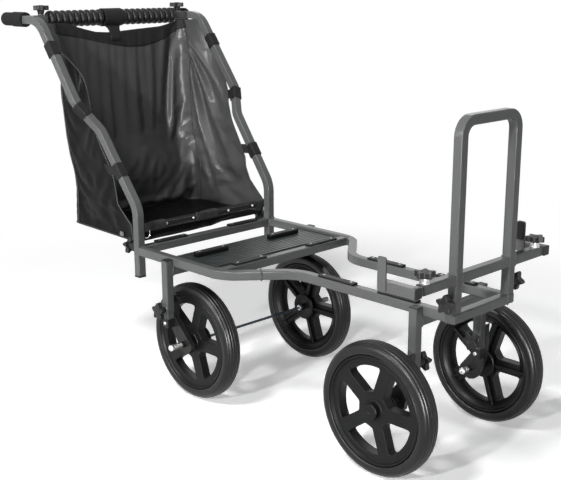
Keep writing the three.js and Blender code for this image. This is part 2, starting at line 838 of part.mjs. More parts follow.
function addWheelSets() {
  const axles = { rear: rearAxle, front: frontAxle };
  for (const [axleName, axle] of Object.entries(axles)) {
    for (const [sideName, side] of Object.entries(sides)) {
      const place = `${axleName}_${sideName}`;
      addPiece(`leg_${place}`, mirrored(leg(axle), side), 'casting');
      const wheel = new THREE.Group();
      wheel.position.set(-axle.axleBehind, side * axle.wheelHalf, axleHeight);
      wheel.rotation.z = side > 0 ? 0 : Math.PI;
      const rimMesh = addPiece(`rim_${place}`, rim(!axle.knobOutboard), 'rim');
      const tyreMesh = addPiece(`tyre_${place}`, tyre(), 'tyre');
      wheel.add(rimMesh, tyreMesh);
      trolley.add(wheel);
      const wheelSide = axle.knobOutboard ? -1 : 1;
      const postFace = axle.deckHalf + seam + (wheelSide < 0 ? 0 : tube) + wheelSide * seam;
      const pin = addPiece(`plunger_${place}`, plunger(axle), 'chrome');
      pin.position.set(-axle.axleBehind, side * (postFace - wheelSide * sleeveLength), axleHeight);
      pin.rotation.z = side * wheelSide > 0 ? Math.PI : 0;
    }
  }
}

addWheelSets();

// Rod that ties the two rear axles together, with a nut on each end
function tieRod() {
  const end = rearAxleEnd - seam;
  const outline = [
    [0, -end], [tieNutRadius, -end], [tieNutRadius, -end + tieNutLength], [tieRodRadius, -end + tieNutLength],
    [tieRodRadius, end - tieNutLength], [tieNutRadius, end - tieNutLength], [tieNutRadius, end], [0, end],
  ];
  const rod = new THREE.LatheGeometry(outline.map(([r, y]) => new THREE.Vector2(r, y)), studSides);
  return rod.translate(-rearAxleBehind, 0, axleHeight);
}

addPiece('tie_rod', tieRod(), 'chrome');

// Star knob with hollow flanks between its lobes, a boss and a stud. +Z points out of the tube face.
function starKnob(standoff) {
  const star = new THREE.Shape();
  const lobe = (2 * Math.PI) / starLobes;
  const tipShares = [-0.16, 0.16];
  const waistShare = 0.5;
  const flankShare = 0.32;
  const hollowShare = 0.465;
  const flank = hollowShare * (starTip + starWaist);
  for (let i = 0; i < starLobes; i++) {
    for (const share of tipShares) {
      const angle = lobe * (i + share);
      const x = starTip * Math.cos(angle);
      const y = starTip * Math.sin(angle);
      if (i === 0 && share === tipShares[0]) {
        star.moveTo(x, y);
      } else {
        star.lineTo(x, y);
      }
    }
    const waist = lobe * (i + waistShare);
    star.lineTo(flank * Math.cos(lobe * (i + flankShare)), flank * Math.sin(lobe * (i + flankShare)));
    star.lineTo(starWaist * Math.cos(waist), starWaist * Math.sin(waist));
    const after = lobe * (i + 1 - flankShare);
    star.lineTo(flank * Math.cos(after), flank * Math.sin(after));
  }
  const head = new THREE.ExtrudeGeometry(star, { depth: starThick, bevelEnabled: false });
  head.translate(0, 0, standoff);
  const stem = [
    [0, -tubeWall], [studRadius, -tubeWall], [studRadius, seam], [knobBossRadius, seam],
    [knobBossRadius, standoff + starThick / 2], [0, standoff + starThick / 2],
  ];
  const shank = new THREE.LatheGeometry(stem.map(([r, y]) => new THREE.Vector2(r, y)), studSides);
  shank.rotateX(Math.PI / 2);
  return join(head, shank);
}

function addKnob(name, face, outward, standoff = knobStandoff) {
  const knob = addPiece(name, starKnob(standoff), 'plastic');
  knob.position.copy(face);
  knob.quaternion.setFromUnitVectors(zAxis, outward);
}

function addKnobs() {
  for (const [sideName, side] of Object.entries(sides)) {
    for (const [axleName, axle] of Object.entries({ rear: rearAxle, front: frontAxle })) {
      const outward = yAxis.clone().multiplyScalar(axle.knobOutboard ? side : -side);
      const face = point(-axle.behind, side * (axle.deckHalf + seam + tube / 2), postKnobHeight);
      addKnob(`knob_post_${axleName}_${sideName}`, face.addScaledVector(outward, tube / 2), outward);
    }
    const sideways = yAxis.clone().multiplyScalar(side);
    addKnob(`knob_base_${sideName}`, point(-deckLength, side * railRearY, baseKnobHeight), xAxis.clone().negate(),
      baseKnobStandoff);
    addKnob(`knob_hoop_${sideName}`, point(-tube / 2, side * deckHalfFront, hoopKnobHeight), sideways);
    addKnob(`knob_arm_${sideName}`, point(-tube / 2, side * armKnobHalf, hoopBarBottom + tube), zAxis);
    addKnob(`knob_bar_${sideName}`, point(-barSocketBehind, side * (barSocketEnd + barKnobInset), handleTop), zAxis);
  }
}

// Hoop: one bent tube that stands over two spigots, with the retainer crossbar welded through it
function hoop() {
  const x = -tube / 2;
  const top = hoopTop - tube / 2;
  const arch = sweep(bentPath([
    { at: point(x, -railFrontY, railTop + seam) },
    { at: point(x, -railFrontY, top), radius: hoopCornerRadius },
    { at: point(x, railFrontY, top), radius: hoopCornerRadius },
    { at: point(x, railFrontY, railTop + seam) },
  ]), xAxis, outerSection, boreSection);
  const barLine = hoopBarBottom + tube / 2;
  const inner = railFrontY - tube / 2 + tubeWall / 2;
  const outer = railFrontY + tube / 2 - tubeWall / 2;
  const middle = squareTube(point(x, -inner, barLine), point(x, inner, barLine));
  const ends = Object.values(sides).map((side) => squareTube(
    point(x, side * outer, barLine),
    point(x, side * hoopBarHalf, barLine),
  ));
  const holes = [ventHole(point(x, 0, barLine))];
  for (const side of Object.values(sides)) {
    holes.push(studHole(point(x, side * deckHalfFront, hoopKnobHeight), yAxis.clone().multiplyScalar(side)));
    holes.push(studHole(point(x, side * armKnobHalf, hoopBarBottom + tube), zAxis));
  }
  return cut(join(arch, middle, ...ends), ...holes);
}

// Retainer arm: a tube along the load's side on a stub that slides in the hoop's crossbar, with an
// upright plate at its back end. Its front end is plugged.
function retainerArm({ side, inner, length, plateBehind, plateTop, outside }) {
  const barLine = hoopBarBottom + tube / 2;
  const y = side * (inner + tube / 2);
  const arm = squareTube(point(-length, y, barLine), point(armFront, y, barLine), false);
  const hollow = sweep(
    straight(point(-length - overrun, y, barLine), point(armFront - armCap, y, barLine)),
    yAxis,
    boreSection,
  );
  const stub = innerBar(
    point(-tube / 2, side * armStubEnd, barLine),
    point(-tube / 2, side * (inner + tubeWall / 2), barLine),
  );
  const faceY = outside > 0 ? inner + tube : inner;
  const plateIn = side * (faceY - outside * (tubeWall / 2));
  const plateOut = side * (faceY + outside * plateThick);
  const left = -plateBehind;
  const right = left + plateWidth;
  const outline = [
    [left, hoopBarBottom], [right, hoopBarBottom], [right, plateTop - plateCorner],
    [right - plateCorner, plateTop], [left + plateCorner, plateTop], [left, plateTop - plateCorner],
  ];
  const plate = slabAcross(outline, Math.min(plateIn, plateOut), Math.max(plateIn, plateOut));
  return join(cut(arm, hollow), stub, plate);
}

// Foam strip on the plate of a retainer arm
function armPad({ side, inner, plateBehind, plateTop, outside }) {
  const faceY = (outside > 0 ? inner + tube : inner) + outside * (plateThick + seam);
  const a = side * faceY;
  const b = side * (faceY + outside * armPadThick);
  const top = plateTop - armPadInset;
  return box(
    point(-plateBehind + armPadInset, Math.min(a, b), top - armPadHeight),
    point(-plateBehind + plateWidth - armPadInset, Math.max(a, b), top),
  );
}

addPiece('hoop', hoop(), 'frame');
addPiece('arm_near', retainerArm(nearArm), 'frame');
addPiece('arm_far', retainerArm(farArm), 'frame');
addPiece('arm_pad_near', armPad(nearArm), 'foam');
addPiece('arm_pad_far', armPad(farArm), 'foam');

// Push handle: upright at the foot, leaning back from the knee, splayed outwards halfway, and
// turned level at the top for the hand grips
const leanRun = handleSetback / (handleTopLine - handleKneeHeight);
const leanStretch = Math.hypot(1, leanRun);
const splayLow = handleLevel(splayLowShare);
const splayHigh = handleLevel(splayHighShare);
const splayLowHalf = railRearY + splayLowOutset;

function leanX(height) {
  return socketX - (height - handleKneeHeight) * leanRun;
}

function handlePath(side) {
  return bentPath([
    { at: point(socketX, side * railRearY, socketTop + seam) },
    { at: point(socketX, side * railRearY, handleKneeHeight), radius: handleKneeRadius },
    { at: point(leanX(splayLow), side * splayLowHalf, splayLow), radius: splayRadius },
    { at: point(leanX(splayHigh), side * handleTopHalf, splayHigh), radius: splayRadius },
    { at: point(leanX(handleTopLine), side * handleTopHalf, handleTopLine), radius: handleTopRadius },
    { at: point(-handleEndBehind, side * handleTopHalf, handleTopLine) },
  ]);
}

function handleTube(side) {
  const upright = sweep(handlePath(side), yAxis, outerSection, boreSection);
  const foot = point(socketX, side * railRearY, socketTop);
  const neck = innerBar(foot.clone().addScaledVector(zAxis, -neckLength), foot.clone().addScaledVector(zAxis, neckRoot));
  const rootSection = squareBore(bore + tubeWall);
  const root = sweep(
    straight(
      foot.clone().addScaledVector(zAxis, seam),
      foot.clone().addScaledVector(zAxis, neckRoot),
    ),
    yAxis,
    rootSection,
  );
  const inside = side * (handleTopHalf - tube / 2 + tubeWall / 2);
  const barSocket = squareTube(
    point(-barSocketBehind, inside, handleTopLine),
    point(-barSocketBehind, side * barSocketEnd, handleTopLine),
  );
  const knobFace = point(-barSocketBehind, side * (barSocketEnd + barKnobInset), handleTop);
  return cut(join(upright, neck, root, barSocket), studHole(knobFace, zAxis));
}

// Bar across the handle, plugged into the socket on each side
function pushBar() {
  const end = pushBarHalf;
  return round(
    point(-barSocketBehind, -end, handleTopLine),
    point(-barSocketBehind, end, handleTopLine),
    pushBarRadius,
    gripSides,
  );
}

// Corrugated grip on the push bar: fat ribs on each side of a plain middle band
function pushGrip() {
  const pitch = (gripHalf - gripBandHalf) / gripRibs;
  const half = [[gripBandRadius, gripBandHalf - gripBandEase]];
  const crestShares = [0.32, 0.68];
  for (let i = 0; i < gripRibs; i++) {
    const start = gripBandHalf + i * pitch;
    half.push([gripGroove, start]);
    for (const share of crestShares) {
      half.push([gripRib, start + share * pitch]);
    }
  }
  half.push([gripGroove, gripHalf]);
  const hole = pushBarRadius + seam;
  const outline = [
    [hole, -gripHalf],
    ...[...half].reverse().map(([r, y]) => [r, -y]),
    ...half,
    [hole, gripHalf],
    [hole, -gripHalf],
  ];
  const grip = new THREE.LatheGeometry(outline.map(([r, y]) => new THREE.Vector2(r, y)), gripSides);
  return grip.translate(-barSocketBehind, 0, handleTopLine);
}

// Foam hand grip closed over the tube's end, with a fatter collar that sits round the bar's socket
function handGrip(side) {
  const y = side * handleTopHalf;
  const rear = -handleEndBehind - foamEnd;
  const front = rear + foamLength;
  const bevel = foamEnd / 2;
  const outline = [
    [0, rear], [foamRadius - bevel, rear], [foamRadius, rear + bevel], [foamRadius, front],
    [collarRadius, front], [collarRadius, front + collarLength - bevel],
    [collarRadius - bevel, front + collarLength], [0, front + collarLength],
  ];
  const body = new THREE.LatheGeometry(outline.map(([r, x]) => new THREE.Vector2(r, x)), foamSides);
  body.rotateZ(-Math.PI / 2);
  body.translate(0, y, handleTopLine);
  const hole = sweep(
    straight(
      point(-handleEndBehind - seam, y, handleTopLine),
      point(front + collarLength + overrun, y, handleTopLine),
    ),
    yAxis,
    squareSection(tube + 2 * seam, tubeCorner),
  );
  const notch = sweep(
    straight(
      point(-barSocketBehind, y, handleTopLine),
      point(-barSocketBehind, y - side * (collarRadius + overrun), handleTopLine),
    ),
    xAxis,
    squareSection(tube + 2 * seam, tubeCorner),
  );
  return cut(body, hole, notch);
}

// Part of a path between two heights, ends included
function pathBetween(stations, low, high) {
  const at = (height) => {
    const i = stations.findIndex((station) => station.point.z >= height);
    const a = stations[i - 1];
    const b = stations[i];
    const share = (height - a.point.z) / (b.point.z - a.point.z);
    return {
      point: a.point.clone().lerp(b.point, share),
      along: a.along.clone().lerp(b.along, share).normalize(),
    };
  };
  const between = stations.filter(({ point: p }) => p.z > low + strapThick && p.z < high - strapThick);
  return [at(low), ...between, at(high)];
}

// Levels of the bag from its floor up, each with its front, its back and its half width at both
function bagLevels() {
  const mouthAt = (height) => leanX(height) - (tube / 2 + bagTubeGap) * leanStretch;
  const levels = [
    ...bagFoot.map(({ height, setback, depth }) => ({ height, front: -deckLength - setback, depth })),
    ...bagSides.map(({ share, depth }) => ({ height: handleLevel(share), front: mouthAt(handleLevel(share)), depth })),
  ];
  const low = levels[0].height;
  const rise = levels[levels.length - 1].height - low;
  return levels.map((level) => {
    const share = (level.height - low) / rise;
    return {
      ...level,
      frontHalf: bagFrontHalf.low + share * (bagFrontHalf.high - bagFrontHalf.low),
      backHalf: bagBackHalf.low + share * (bagBackHalf.high - bagBackHalf.low),
    };
  });
}

// Plan of the bag at one level, drawn in by a wall all round and with its front moved forwards. Its
// sides close in towards the back, where the corners are rounded.
function bagPlan({ height, front, depth, frontHalf, backHalf }, wall, forwards) {
  const corner = Math.min(bagCorner, bagCornerShare * depth);
  const centre = front - depth + corner;
  const slope = (frontHalf - backHalf) / (front - centre);
  const farSide = [point(front + forwards, frontHalf - wall + slope * forwards, height)];
  for (let i = 0; i <= bagCornerSteps; i++) {
    const angle = Math.PI / 2 * i / bagCornerSteps;
    const reach = corner - wall;
    farSide.push(point(centre - reach * Math.sin(angle), backHalf - corner + reach * Math.cos(angle), height));
  }
  const nearSide = farSide.map((p) => point(p.x, -p.y, height)).reverse();
  return [...farSide, ...nearSide];
}

// Bag: an open-fronted shell behind the handle. It hangs by straps that wrap round the two tubes.
function bag() {
  const levels = bagLevels();
  const outside = levels.map((level) => bagPlan(level, 0, 0));
  const [floor, sill, ...upper] = levels;
  const top = levels[levels.length - 1];
  const inside = [
    bagPlan({ ...floor, height: floor.height + bagWall }, bagWall, -bagWall),
    bagPlan(sill, bagWall, -bagWall),
    bagPlan(sill, bagWall, overrun),
    ...upper.map((level) => bagPlan(level, bagWall, overrun)),
    bagPlan({ ...top, height: top.height + overrun }, bagWall, overrun),
  ];
  const shell = cut(loft(outside), loft(inside));
  const straps = [];
  const hole = tube + 2 * seam;
  const backFace = (height) => leanX(height) - (hole / 2 + seam) * leanStretch;
  for (const side of Object.values(sides)) {
    for (const band of strapShares) {
      const [low, high] = band.map(handleLevel);
      const run = pathBetween(handlePath(side), low, high);
      straps.push(sweep(
        run,
        yAxis,
        squareSection(hole + 2 * strapThick, tubeCorner + strapThick),
        squareBore(hole),
      ));
      const middle = run[Math.floor(run.length / 2)];
      const share = ((low + high) / 2 - floor.height) / (top.height - floor.height);
      const panelY = bagFrontHalf.low + share * (bagFrontHalf.high - bagFrontHalf.low);
      const innerY = Math.min(panelY, side * middle.point.y) - bagWall;
      const outerY = Math.max(panelY - bagWall / 2, side * middle.point.y);
      const tab = slabAcross([
        [backFace(low), low], [backFace(high), high],
        [backFace(high) - strapTail, high], [backFace(low) - strapTail, low],
      ], innerY, outerY);
      straps.push(mirrored(tab, side));
    }
  }
  return join(shell, ...straps);
}

addPiece('handle_near', handleTube(sides.near), 'frame');
addPiece('handle_far', handleTube(sides.far), 'frame');
addPiece('push_bar', pushBar(), 'frame');
addPiece('push_grip', pushGrip(), 'plastic');
addPiece('hand_grip_near', handGrip(sides.near), 'foam');
addPiece('hand_grip_far', handGrip(sides.far), 'foam');
addKnobs();
addPiece('bag', bag(), 'fabric');

// The origin is on the ground under the middle of the whole trolley
const bounds = new THREE.Box3().setFromObject(trolley);
const middle = bounds.getCenter(new THREE.Vector3());
trolley.position.set(-middle.x, -middle.y, -bounds.min.z);

export default trolley;
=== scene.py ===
import math

import bmesh
import bpy
import numpy as np
from mathutils import Matrix, Vector, noise


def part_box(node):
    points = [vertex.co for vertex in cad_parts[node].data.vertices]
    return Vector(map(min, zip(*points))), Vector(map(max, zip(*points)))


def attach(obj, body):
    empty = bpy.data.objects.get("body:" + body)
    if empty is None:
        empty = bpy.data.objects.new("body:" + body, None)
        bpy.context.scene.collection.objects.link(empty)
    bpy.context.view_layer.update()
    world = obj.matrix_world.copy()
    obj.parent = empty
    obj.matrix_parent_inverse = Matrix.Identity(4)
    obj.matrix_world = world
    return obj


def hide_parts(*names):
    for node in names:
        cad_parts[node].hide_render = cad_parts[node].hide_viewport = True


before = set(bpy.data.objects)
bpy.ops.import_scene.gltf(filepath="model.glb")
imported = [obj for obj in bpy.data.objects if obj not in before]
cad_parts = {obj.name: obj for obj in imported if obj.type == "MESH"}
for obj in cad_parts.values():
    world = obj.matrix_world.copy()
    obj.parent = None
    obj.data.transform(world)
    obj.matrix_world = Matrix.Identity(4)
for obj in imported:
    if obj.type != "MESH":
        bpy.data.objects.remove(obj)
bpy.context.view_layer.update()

# The set: a camera at the photograph's height and bearing, a pale seamless floor and soft studio lamps.
# The trolley stands with its hoop towards the camera's right, 45.8 degrees round from its near side.
photo_width = 561
photo_focal = 1004.7
sensor_width = 36.0
nearest_seen = 0.05
farthest_seen = 60.0
camera_place = Vector((2.09382, -1.95042, 1.16297))
camera_yaw = math.radians(45.799)
camera_pitch = math.radians(14.438)
camera_roll = math.radians(-0.239)


def new_object(name, data):
    """An object of this data, linked to the scene."""
    made = bpy.data.objects.new(name, data)
    bpy.context.scene.collection.objects.link(made)
    return made


camera_data = bpy.data.cameras.new("camera")
camera_data.sensor_width = sensor_width
camera_data.lens = sensor_width * photo_focal / photo_width
camera_data.clip_start = nearest_seen
camera_data.clip_end = farthest_seen
camera = new_object("camera", camera_data)
camera.location = camera_place
look_level = Matrix.Rotation(camera_yaw, 3, "Z") @ Matrix.Rotation(math.radians(90) - camera_pitch, 3, "X")
camera.rotation_euler = (look_level @ Matrix.Rotation(camera_roll, 3, "Z")).to_euler()
bpy.context.scene.camera = camera
bpy.context.scene.view_settings.view_transform = "Standard"


def material(name, colour, roughness, metallic=0.0):
    """A material with a Principled shader, its node tree and the shader."""
    made = bpy.data.materials.new(name)
    made.use_nodes = True
    shader = made.node_tree.nodes["Principled BSDF"]
    shader.inputs["Base Color"].default_value = (*colour, 1.0)
    shader.inputs["Roughness"].default_value = roughness
    shader.inputs["Metallic"].default_value = metallic
    return made, made.node_tree, shader


def nodes_of(tree, **kinds):
    """New nodes of these kinds in the tree, by name."""
    return {name: tree.nodes.new(kind) for name, kind in kinds.items()}


def socket_of(sockets, name):
    """A socket by its name, or by its place where the name is a number."""
    return sockets[int(name) if name.isdigit() else name]


def set_values(nodes, values):
    """Values for input sockets, each named as "node.socket"."""
    for place, value in values.items():
        node, socket = place.split(".")
        socket_of(nodes[node].inputs, socket).default_value = value


def wired(tree, nodes, *links):
    """Joins sockets in a tree, each link written as "node.socket > node.socket"."""
    for one in links:
        (source, out), (target, into) = [end.split(".") for end in one.split(" > ")]
        tree.links.new(socket_of(nodes[source].outputs, out), socket_of(nodes[target].inputs, into))


def seen_rays(tree):
    """A node that gives 1 for rays from the camera, a mirror or glass, and 0 for those that carry light."""
    ray_kind = tree.nodes.new("ShaderNodeLightPath")
    total = ray_kind.outputs["Is Camera Ray"]
    for kind in ("Is Glossy Ray", "Is Transmission Ray"):
        either = tree.nodes.new("ShaderNodeMath")
        either.operation = "MAXIMUM"
        tree.links.new(total, either.inputs[0])
        tree.links.new(ray_kind.outputs[kind], either.inputs[1])
        total = either.outputs[0]
    return either


floor_half = 14.0
floor_colour = (0.94, 0.94, 0.94)
floor_roughness = 0.9
floor_shine = 0.1
floor_corners = [(x * floor_half, y * floor_half, 0) for x, y in [(-1, -1), (1, -1), (1, 1), (-1, 1)]]
floor_mesh = bpy.data.meshes.new("floor")
floor_mesh.from_pydata(floor_corners, [], [(0, 1, 2, 3)])
floor = new_object("floor", floor_mesh)
floor_finish, floor_tree, floor_shader = material("floor paper", floor_colour, floor_roughness)
floor_shader.inputs["Specular IOR Level"].default_value = floor_shine
floor_mesh.materials.append(floor_finish)

# The paper keeps the trolley's shadow, a little lifted, and turns plain white further off.
paper_rise = 0.36
paper_near = 1.15
paper_far = 2.1
paper = nodes_of(
    floor_tree, lift_share="ShaderNodeMath", lift="ShaderNodeEmission", near_look="ShaderNodeAddShader",
    white="ShaderNodeEmission", place="ShaderNodeTexCoord", distance="ShaderNodeVectorMath",
    fade="ShaderNodeMapRange", fade_share="ShaderNodeMath", mix="ShaderNodeMixShader",
)
paper["seen"] = seen_rays(floor_tree)
paper["shader"] = floor_shader
paper["end"] = floor_tree.nodes["Material Output"]
paper["lift_share"].operation = "MULTIPLY"
paper["fade_share"].operation = "MULTIPLY"
paper["distance"].operation = "LENGTH"
paper["fade"].interpolation_type = "SMOOTHSTEP"
set_values(paper, {
    "lift_share.1": paper_rise, "white.Strength": 1.0,
    "fade.From Min": paper_near, "fade.From Max": paper_far,
})
wired(
    floor_tree, paper,
    "seen.0 > lift_share.0", "lift_share.0 > lift.Strength", "shader.0 > near_look.0", "lift.0 > near_look.1",
    "place.Object > distance.0", "distance.Value > fade.Value", "fade.Result > fade_share.0",
    "seen.0 > fade_share.1", "fade_share.0 > mix.Fac", "near_look.0 > mix.1", "white.0 > mix.2",
    "mix.0 > end.Surface",
)

fill_colour = (0.95, 0.98, 1.0, 1.0)
fill_strength = 0.11
world = bpy.data.worlds.new("studio")
bpy.context.scene.world = world
world.use_nodes = True
world_tree = world.node_tree
sky = nodes_of(world_tree, white="ShaderNodeBackground", mix="ShaderNodeMixShader")
sky["fill"] = world_tree.nodes["Background"]
sky["seen"] = seen_rays(world_tree)
sky["end"] = world_tree.nodes["World Output"]
set_values(sky, {
    "fill.Color": fill_colour, "fill.Strength": fill_strength,
    "white.Color": (1.0, 1.0, 1.0, 1.0), "white.Strength": 1.0,
})
wired(world_tree, sky, "seen.0 > mix.Fac", "fill.0 > mix.1", "white.0 > mix.2", "mix.0 > end.Surface")


def soft_box(name, place, aim, width, height, power):
    """A rectangular studio lamp that points from its place to its aim."""
    lamp_data = bpy.data.lights.new(name, "AREA")
    lamp_data.shape = "RECTANGLE"
    lamp_data.size = width
    lamp_data.size_y = height
    lamp_data.energy = power
    lamp = new_object(name, lamp_data)
    lamp.location = place
    lamp.rotation_euler = (Vector(aim) - Vector(place)).to_track_quat("-Z", "Y").to_euler()
    return lamp


# The first three lamps light the trolley. The last three show only as reflections, for the sheen on the
# tubes, the near tyres and the bag's folds. Each has its place, width, height and power.
trolley_middle = (0.0, 0.0, 0.45)
lamps = {
    "key lamp": ((1.30, -5.05, 2.45), 0.3, 0.3, 175.0),
    "top lamp": ((0.3, -3.0, 4.4), 0.8, 0.8, 145.0),
    "back lamp": ((-2.6, 3.0, 2.6), 2.4, 1.4, 16.0),
    "gloss panel": ((2.1, -2.9, 3.5), 2.0, 1.6, 60.0),
    "tyre strip": ((3.3, -2.9, 0.75), 1.1, 1.4, 260.0),
    "fold strip": ((-0.9, -3.4, 1.5), 0.7, 1.6, 60.0),
}
for name, (place, width, height, power) in lamps.items():
    lamp = soft_box(name, place, trolley_middle, width, height, power)
    lamp.visible_diffuse = name.endswith("lamp")

# The frame is 25 mm square steel tube with rounded corners, mitred or bent cold and welded, then powder
# coated a satin grey. Each run is one Geometry Nodes sweep of the tube's section along its centre line.
mm = 0.001
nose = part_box("nose_bar")[1].x
sides = {"near": -1, "far": 1}
tube_width = 25 * mm
tube_wall = 2 * mm
tube_corner = 3.4 * mm
corner_steps = 4
bend_steps = 16
deck_half_front = 121.6
rail_line = 400.5
rail_rear_half = 262.2
rail_front_half = 109.1
corner_behind = 1027.5


def spot(behind, across, height):
    """A point given in millimetres behind the nose, across from the middle and above the ground."""
    return Vector((nose - behind * mm, across * mm, height * mm))


def group_tree(name, kind, inputs, outputs):
    """A node group with its ends. A socket is given as its name, kind and, if it has one, its value."""
    tree = bpy.data.node_groups.new(name, kind)
    for way, sockets in (("INPUT", inputs), ("OUTPUT", outputs)):
        for socket_name, socket_kind, *value in sockets:
            kind_name = "NodeSocket" + socket_kind
            socket = tree.interface.new_socket(socket_name, in_out=way, socket_type=kind_name)
            if value:
                socket.default_value = value[0]
    return tree


def group_nodes(tree, **kinds):
    """New nodes of these kinds in the tree, by name, with the group's ends."""
    return nodes_of(tree, ends_in="NodeGroupInput", ends_out="NodeGroupOutput", **kinds)


def set_inputs(modifier, tree, **values):
    """Values for a modifier's inputs, found by name and set by each socket's identifier."""
    wanted = {name.replace("_", " "): value for name, value in values.items()}
    for item in tree.interface.items_tree:
        if item.item_type == "SOCKET" and item.in_out == "INPUT" and item.name in wanted:
            modifier[item.identifier] = wanted.pop(item.name)
    assert not wanted, wanted


tube_tree = group_tree("square tube", "GeometryNodeTree", [
    ("Geometry", "Geometry"), ("width", "Float", tube_width), ("corner radius", "Float", tube_corner),
    ("corner steps", "Int", corner_steps), ("side", "Vector", (0.0, 1.0, 0.0)),
    ("closed ends", "Bool", False), ("finish", "Material"),
], [("Geometry", "Geometry")])
tube = group_nodes(
    tube_tree, line="GeometryNodeMeshToCurve", turn="GeometryNodeSetCurveNormal",
    along="GeometryNodeInputTangent", dot="ShaderNodeVectorMath", lean="ShaderNodeVectorMath",
    square="ShaderNodeVectorMath", section="GeometryNodeCurvePrimitiveQuadrilateral",
    rounded="GeometryNodeFilletCurve", swept="GeometryNodeCurveToMesh", painted="GeometryNodeSetMaterial",
    whole="GeometryNodeRealizeInstances",
)
tube["turn"].mode = "FREE"
tube["rounded"].mode = "POLY"
tube["dot"].operation = "DOT_PRODUCT"
tube["lean"].operation = "SCALE"
tube["square"].operation = "SUBTRACT"
wired(
    tube_tree, tube,
    "ends_in.Geometry > line.Mesh", "line.Curve > turn.Curve", "ends_in.side > dot.0",
    "along.Tangent > dot.1", "along.Tangent > lean.0",
    "dot.Value > lean.Scale", "ends_in.side > square.0", "lean.Vector > square.1",
    "square.Vector > turn.Normal", "ends_in.width > section.Width", "ends_in.width > section.Height",
    "section.Curve > rounded.Curve", "ends_in.corner steps > rounded.Count",
    "ends_in.corner radius > rounded.Radius", "turn.Curve > swept.Curve",
    "rounded.Curve > swept.Profile Curve", "ends_in.closed ends > swept.Fill Caps",
    "swept.Mesh > whole.Geometry", "whole.Geometry > painted.Geometry", "ends_in.finish > painted.Material",
    "painted.Geometry > ends_out.Geometry",
)


def bent_line(corners):
    """Points of a centre line through corners, each a point with the bend's radius in millimetres there."""
    points = [corners[0][0]]
    for (before, _), (corner, radius), (after, _) in zip(corners, corners[1:], corners[2:]):
        inward = (corner - before).normalized()
        outward = (after - corner).normalized()
        turn = inward.angle(outward)
        across = (outward - inward * outward.dot(inward)).normalized()
        start = corner - inward * (radius * mm * math.tan(turn / 2))
        centre = start + across * (radius * mm)
        for step in range(bend_steps + 1):
            angle = turn * step / bend_steps
            points.append(centre + (inward * math.sin(angle) - across * math.cos(angle)) * (radius * mm))
    points.append(corners[-1][0])
    return points


def grown(name, host_mesh, tree, **values):
    """The plain mesh that a Geometry Nodes tree grows on a host mesh."""
    host = new_object(name + " host", host_mesh)
    modifier = host.modifiers.new("grow", "NODES")
    modifier.node_group = tree
    set_inputs(modifier, tree, **values)
    evaluated = host.evaluated_get(bpy.context.evaluated_depsgraph_get())
    mesh = bpy.data.meshes.new_from_object(evaluated)
    mesh.name = name
    host.modifiers.remove(modifier)
    bpy.data.objects.remove(host)
    return mesh


def line_mesh(name, points):
    mesh = bpy.data.meshes.new(name)
    mesh.from_pydata([tuple(p) for p in points], [(i, i + 1) for i in range(len(points) - 1)], [])
    return mesh


# Powder coat: grey polyester, baked on, with a faint orange peel and a little variation from run to run.
mottle = group_tree("mottle and grain", "ShaderNodeTree", [
    ("Vector", "Vector"), ("Colour", "Color", (0.1, 0.1, 0.1, 1.0)),
    ("Second colour", "Color", (0.1, 0.1, 0.1, 1.0)),
    ("Roughness", "Float", 0.4), ("Roughness change", "Float", 0.1), ("Blotch scale", "Float", 12.0),
    ("Grain scale", "Float", 900.0),
], [("Colour", "Color"), ("Roughness", "Float"), ("Height", "Float")])
part = group_nodes(
    mottle, blotch="ShaderNodeTexNoise", grain="ShaderNodeTexNoise", spread="ShaderNodeMapRange",
    tint="ShaderNodeMix", gloss="ShaderNodeMath",
)
part["tint"].data_type = "RGBA"
part["gloss"].operation = "MULTIPLY_ADD"
set_values(part, {"blotch.Detail": 4.0, "grain.Detail": 2.0, "spread.From Min": 0.3, "spread.From Max": 0.7})
wired(
    mottle, part,
    "ends_in.Vector > blotch.Vector", "ends_in.Vector > grain.Vector", "ends_in.Blotch scale > blotch.Scale",
    "ends_in.Grain scale > grain.Scale", "blotch.Fac > spread.Value", "spread.Result > tint.Factor",
    "spread.Result > gloss.0", "ends_in.Roughness change > gloss.1", "ends_in.Roughness > gloss.2",
    "gloss.0 > ends_out.Roughness", "grain.Fac > ends_out.Height", "ends_in.Colour > tint.A",
    "ends_in.Second colour > tint.B", "tint.Result > ends_out.Colour",
)
grain_depth = 0.2 * mm


def finish_of(name, colour, second, roughness, change, blotch, grain, bump, metallic=0.0, shine=0.5):
    """A material whose colour and gloss drift a little over the piece, with a fine grain in its surface."""
    made, tree, shader = material(name, colour, roughness, metallic)
    nodes = nodes_of(tree, drift="ShaderNodeGroup", where="ShaderNodeTexCoord", relief="ShaderNodeBump")
    nodes["shader"] = shader
    nodes["drift"].node_tree = mottle
    set_values(nodes, {
        "shader.Specular IOR Level": shine,
        "drift.Colour": (*colour, 1.0), "drift.Second colour": (*second, 1.0),
        "drift.Roughness": roughness, "drift.Roughness change": change, "drift.Blotch scale": blotch,
        "drift.Grain scale": grain, "relief.Strength": bump, "relief.Distance": grain_depth,
    })
    wired(
        tree, nodes,
        "where.Object > drift.Vector", "drift.Colour > shader.Base Color",
        "drift.Roughness > shader.Roughness", "drift.Height > relief.Height", "relief.Normal > shader.Normal",
    )
    return made


frame_coat = finish_of(
    "grey powder coat", (0.112, 0.113, 0.112), (0.122, 0.128, 0.126),
    roughness=0.20, change=0.03, blotch=6.0, grain=700.0, bump=0.05, shine=0.2,
)


